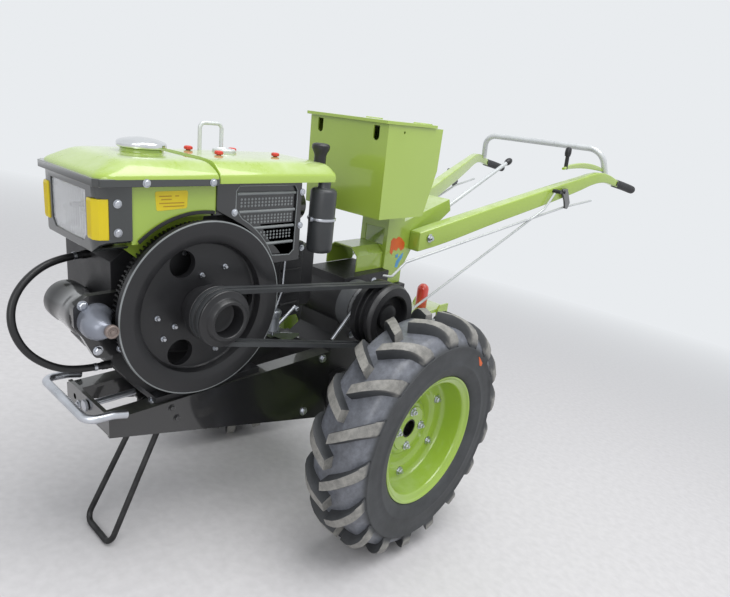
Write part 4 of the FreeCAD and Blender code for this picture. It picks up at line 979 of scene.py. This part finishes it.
grips = []
for side in (1, -1):
    path = bentPath([(-1230, side * 290.5, 932), (-1328.5, side * 298, 918), (-1416, side * 304, 904.2)], 200, 30)
    grips.append((sweptForm, [path[0] + (path[-1] - path[0]) * i / 90 + Vector((0, 0, math.sin(math.pi * i / 90)))
                              for i in range(91)], gripSection))
makePiece("grips_dressed", "blackPlastic", grips, sharp=60)
makePiece("hoop_dressed", "silverPaint", [
    (rodForm, [(-1180, 270, 956), (-1139, 252, 1050), (-1139, -252, 1050), (-1180, -270, 956)], 11, 66, 24)],
    "handle_guard")
print("handlebars made")

# Levers and rods
makePiece("clutch_lever_dressed", "limeEnamel", [(barForm, leverSections, 30, 1, 0.7, 20)], sharp=50)
makePiece("lever_peg", "blackPlastic", [
    (rodForm, [(-850, 212, 898), (-850, 252, 898)], 7),
    (rodForm, [(-858, 246, 976), (-850, 246, 1049)], 6.5),
    (turnedForm, [(0, 1018), (9, 1020), (11, 1030), (10, 1044), (6, 1049.5), (0, 1050)], (-851, 246, 0), "Z", 24)],
    slot="black_paint")
hanger = roundedLoop([(-866, 908), (-914, 908), (-958, 856), (-946, 834), (-928, 836), (-912, 862)], 6)
makePiece("steering_levers_dressed", "blackEnamel", [
    shape for side in (1, -1) for shape in (
        (plateForm, [hanger], "Y", *sorted((side * 241, side * 247))),
        (rodForm, [(-894, side * 234, 896), (-894, side * 252, 896)], 6))])
makePiece("gear_lever_dressed", "silverPaint", [(rodForm, [(-218, 0, 590), (-300, 0, 710), (-900, 0, 966)], 7, 40, 20)])
makePiece("gear_knob", "blackPlastic", [
    (sweptForm, [(-886 - 38 * t / 12, 0, 960 + 16.2 * t / 12) for t in range(13)],
     lambda share: roundSection(max(12 * math.sqrt(max(1 - (2 * share - 1) ** 2, 0)) + 0.5, 0.5), 24))])
makePiece("rods_dressed", "silverPaint", [
    (rodForm, [(-150, 68, 640), (-168, 92, 640), (-222, 96, 678), (-936, 237.8, 840), (-1115, 262, 862)], 4, 10),
    (mirrorForm,), (rodForm, [(-361, 20, 462), (-806, 224, 836), (-838, 236, 892)], 4, 30)], "control_rods")

# Toolbox of folded sheet, its lid, and the hitch with its red pin
dressNode("toolbox", "toolbox", "limeEnamel", 0.9)
dressNode("toolbox_lid", "lid", "limeEnamel", 1.2, body="lid")
dressNode("rear_hitch", "hitch", "limeEnamel", 1.5)
makePiece("hitch_pin_dressed", "redEnamel", [
    (turnedForm, [(0, 356), (10, 356), (12.4, 360), (12.4, 464), (19, 464), (20, 465.5), (20, 530), (18, 537),
                  (14, 542), (8, 547), (0, 548)], (-472, 0, 0), "Z", 40)])
print("controls, toolbox and hitch made")

# Hose in front of the engine, and the stubs that it pushes on to
hose = {"diameter": 0.014, "length": 0.4091, "stubRadius": 8.2, "beadRadius": 8.9, "clipRadius": 7.8}
hoseRoute = [(656, -26, 764), (700, -24, 762), (750, -14, 742), (788, 2, 706), (800, 18, 660), (784, 32, 610),
             (744, 42, 574), (698, 48, 559), (656, 50, 558)]
line = bpy.data.curves.new("drain_hose_line", "CURVE")
line.dimensions = "3D"
spline = line.splines.new("NURBS")
spline.points.add(len(hoseRoute) - 1)
for point, place in zip(spline.points, hoseRoute):
    point.co = (*parkedPoint(*place), 1.0)
spline.order_u = 3
spline.use_endpoint_u = True
line.resolution_u = 16
line.bevel_depth = hose["diameter"] / 2
line.bevel_resolution = 6
line.use_fill_caps = True
line.materials.append(finishes["hoseRubber"])
hosePiece = addPiece("drain_hose_line", line, "chassis", instead="drain_hose")
stubs, clips = [], []
for end, toward in ((hoseRoute[0], hoseRoute[1]), (hoseRoute[-1], hoseRoute[-2])):
    end = Vector(end)
    out = (Vector(toward) - end).normalized()
    stubs.append((sweptForm, [end + out * (1 - 3 * i) for i in range(7)],
                  lambda share: roundSection(hose["beadRadius"] if share in (0.5, 1.0) else hose["stubRadius"], 24)))
    clips.append((sweptForm, [end + out * (10 + d) for d in (0, 0.1, 5.9, 6)],
                  lambda share: roundSection(hose["clipRadius"] if 0.1 < share < 0.9 else 7.2, 24)))
makePiece("hose_stubs_dressed", "darkSteel", stubs, sharp=60)
makePiece("hose_clips", "zincPlate", clips, sharp=60)
print("hose made")

# Screws and nuts, one plain mesh for each set
left, right, front, above = (0, 1, 0), (0, -1, 0), (1, 0, 0), (0, 0, 1)
screws("cover_screws", "zincPlate", [
    (603, 130, 926, left), (468, 130, 926, left), (603, -130, 926, right), (468, -130, 926, right),
    (649, 116, 889, left), (649, 116, 838, left), (649, -116, 889, right), (649, -116, 838, right),
    (407, 116, 862, left), (226, 116, 900, left), (226, 116, 824, left), (407, -116, 862, right)],
    sides=12, radius=5.6, height=3.6, washer=7.6)
screws("frame_bolts", "zincPlate", [
    (560, 72, 462, above), (148, 100, 307, left), (93, 100, 448, left), (83, 92, 420, left, 0.8),
    (83, 92, 300, left, 0.8), (522, -100, 418, right), (148, -100, 307, right), (668, 40, 436, front, 0.8),
    (668, -40, 436, front, 0.8)], radius=8, height=6.5, washer=11.5)
screws("frame_bolts_black", "blackEnamel", [
    (534, 100, 446, left), (522, 100, 418, left), (534, -100, 446, right)], radius=6, height=4.5, washer=8)
screws("engine_bolts", "zincPlate", [
    (675, 78, 606, left), (630, 78, 600, left), (700, 78, 700, left), (316, 62, 490, left), (545, 62, 490, left)]
    + [(x, 62, z, left, 0.8) for x, z in ((268, 770), (268, 530), (166, 752), (224, 752), (166, 592), (224, 592))]
    + [(spinX + 104 * math.cos(a), 70, spinZ + 104 * math.sin(a), left, 0.8) for a in (0.4, 1.45, 2.5, 3.55, 4.6, 5.65)]
    + [(x, -178, z, right) for x, z in ((350, 540), (450, 535), (540, 540), (585, 600), (585, 720), (540, 772),
                                        (450, 778), (350, 772), (305, 720), (305, 600))],
    radius=7, height=5.5, washer=9.5)
pulleyBolts = [aroundSpin(r, a) for r, a in ((96, -5), (67, -29), (99, -33), (109, -110), (67, 91), (67, 211), (96, 125))]
screws("pulley_bolts", "zincPlate", [(x, 116, z, left) for x, z in pulleyBolts], "flywheel_group",
       radius=4.2, height=7, washer=5.4)
screws("post_bolts", "zincPlate", [
    (-322, 99.6, 744, left, 1.2), (-322, -99.6, 744, right, 1.2)]
    + [(x, 74, z, left) for x, z in ((-110, 630), (-160, 560), (-40, 480), (40, 300), (-120, 330))],
    radius=8, height=6.5, washer=11, stud=5)
print("fasteners made")

# Plain pale floor and an even overcast light
studio = {"floorHeight": -0.001, "floorSize": 30.0, "skyStrength": 0.85, "keyWatts": 120.0, "frontWatts": 40.0,
          "backdrop": linear("#e9ecef"), "fadeFrom": 1.8, "fadeTo": 9.0}
bm = bmesh.new()
bmesh.ops.create_grid(bm, x_segments=1, y_segments=1, size=studio["floorSize"])
floorMesh = bpy.data.meshes.new("studioFloor")
bm.to_mesh(floorMesh)
bm.free()
floorObject = bpy.data.objects.new("studioFloor", floorMesh)
floorObject.location.z = studio["floorHeight"]
scene.collection.objects.link(floorObject)


def seenRays(tree):
    # 1 where the camera, a reflection or a clear part looks, 0 for the light that falls on the object
    rays = addNode(tree, "ShaderNodeLightPath").outputs
    seen = addNode(tree, "ShaderNodeMath", {"operation": "MAXIMUM", 0: rays["Is Camera Ray"],
                                            1: rays["Is Glossy Ray"]})
    return addNode(tree, "ShaderNodeMath", {"operation": "MAXIMUM", 0: seen, 1: rays["Is Transmission Ray"]})


# far from the object the floor runs out into the backdrop's colour
floorMaterial, tree, coords = startMaterial("paleFloor")
speckle = clouds(tree, coords, 40.0, 6.0, 0.5, 0.3, 0.7, ("#c9c7c8", "#d2d0d1"))[1]
shader = addNode(tree, "ShaderNodeBsdfPrincipled", {"Base Color": speckle, "Roughness": 0.75})
distance = addNode(tree, "ShaderNodeVectorMath", {"operation": "LENGTH", 0: coords}).outputs["Value"]
fade = addNode(tree, "ShaderNodeMapRange", {"Value": distance, "From Min": studio["fadeFrom"],
                                            "From Max": studio["fadeTo"]})
away = addNode(tree, "ShaderNodeMath", {"operation": "MULTIPLY", 0: fade, 1: seenRays(tree)})
backdrop = addNode(tree, "ShaderNodeEmission", {"Color": studio["backdrop"], "Strength": 1.0})
faded = addNode(tree, "ShaderNodeMixShader", {0: away, 1: shader, 2: backdrop})
addNode(tree, "ShaderNodeOutputMaterial", {"Surface": faded})
floorMesh.materials.append(floorMaterial)

world = bpy.data.worlds.new("overcast")
scene.world = world
world.use_nodes = True
tree = world.node_tree
tree.nodes.clear()
level = addNode(tree, "ShaderNodeMapRange", {"Value": seenRays(tree), "To Min": studio["skyStrength"], "To Max": 1.0})
sky = addNode(tree, "ShaderNodeBackground", {"Color": studio["backdrop"], "Strength": level})
addNode(tree, "ShaderNodeOutputWorld", {"Surface": sky})
for name, place, aim, size, watts in (("skyPanel", (0.6, 1.2, 4.2), (0.0, 0.0, 0.5), 3.5, studio["keyWatts"]),
                                      ("frontPanel", (4.0, 2.2, 2.2), (0.2, 0.0, 0.5), 2.5, studio["frontWatts"])):
    data = bpy.data.lights.new(name, "AREA")
    data.shape = "DISK"
    data.size = size
    data.energy = watts
    panel = bpy.data.objects.new(name, data)
    panel.location = place
    panel.rotation_euler = (Vector(aim) - Vector(place)).to_track_quat("-Z", "Y").to_euler()
    scene.collection.objects.link(panel)
print("studio lit")
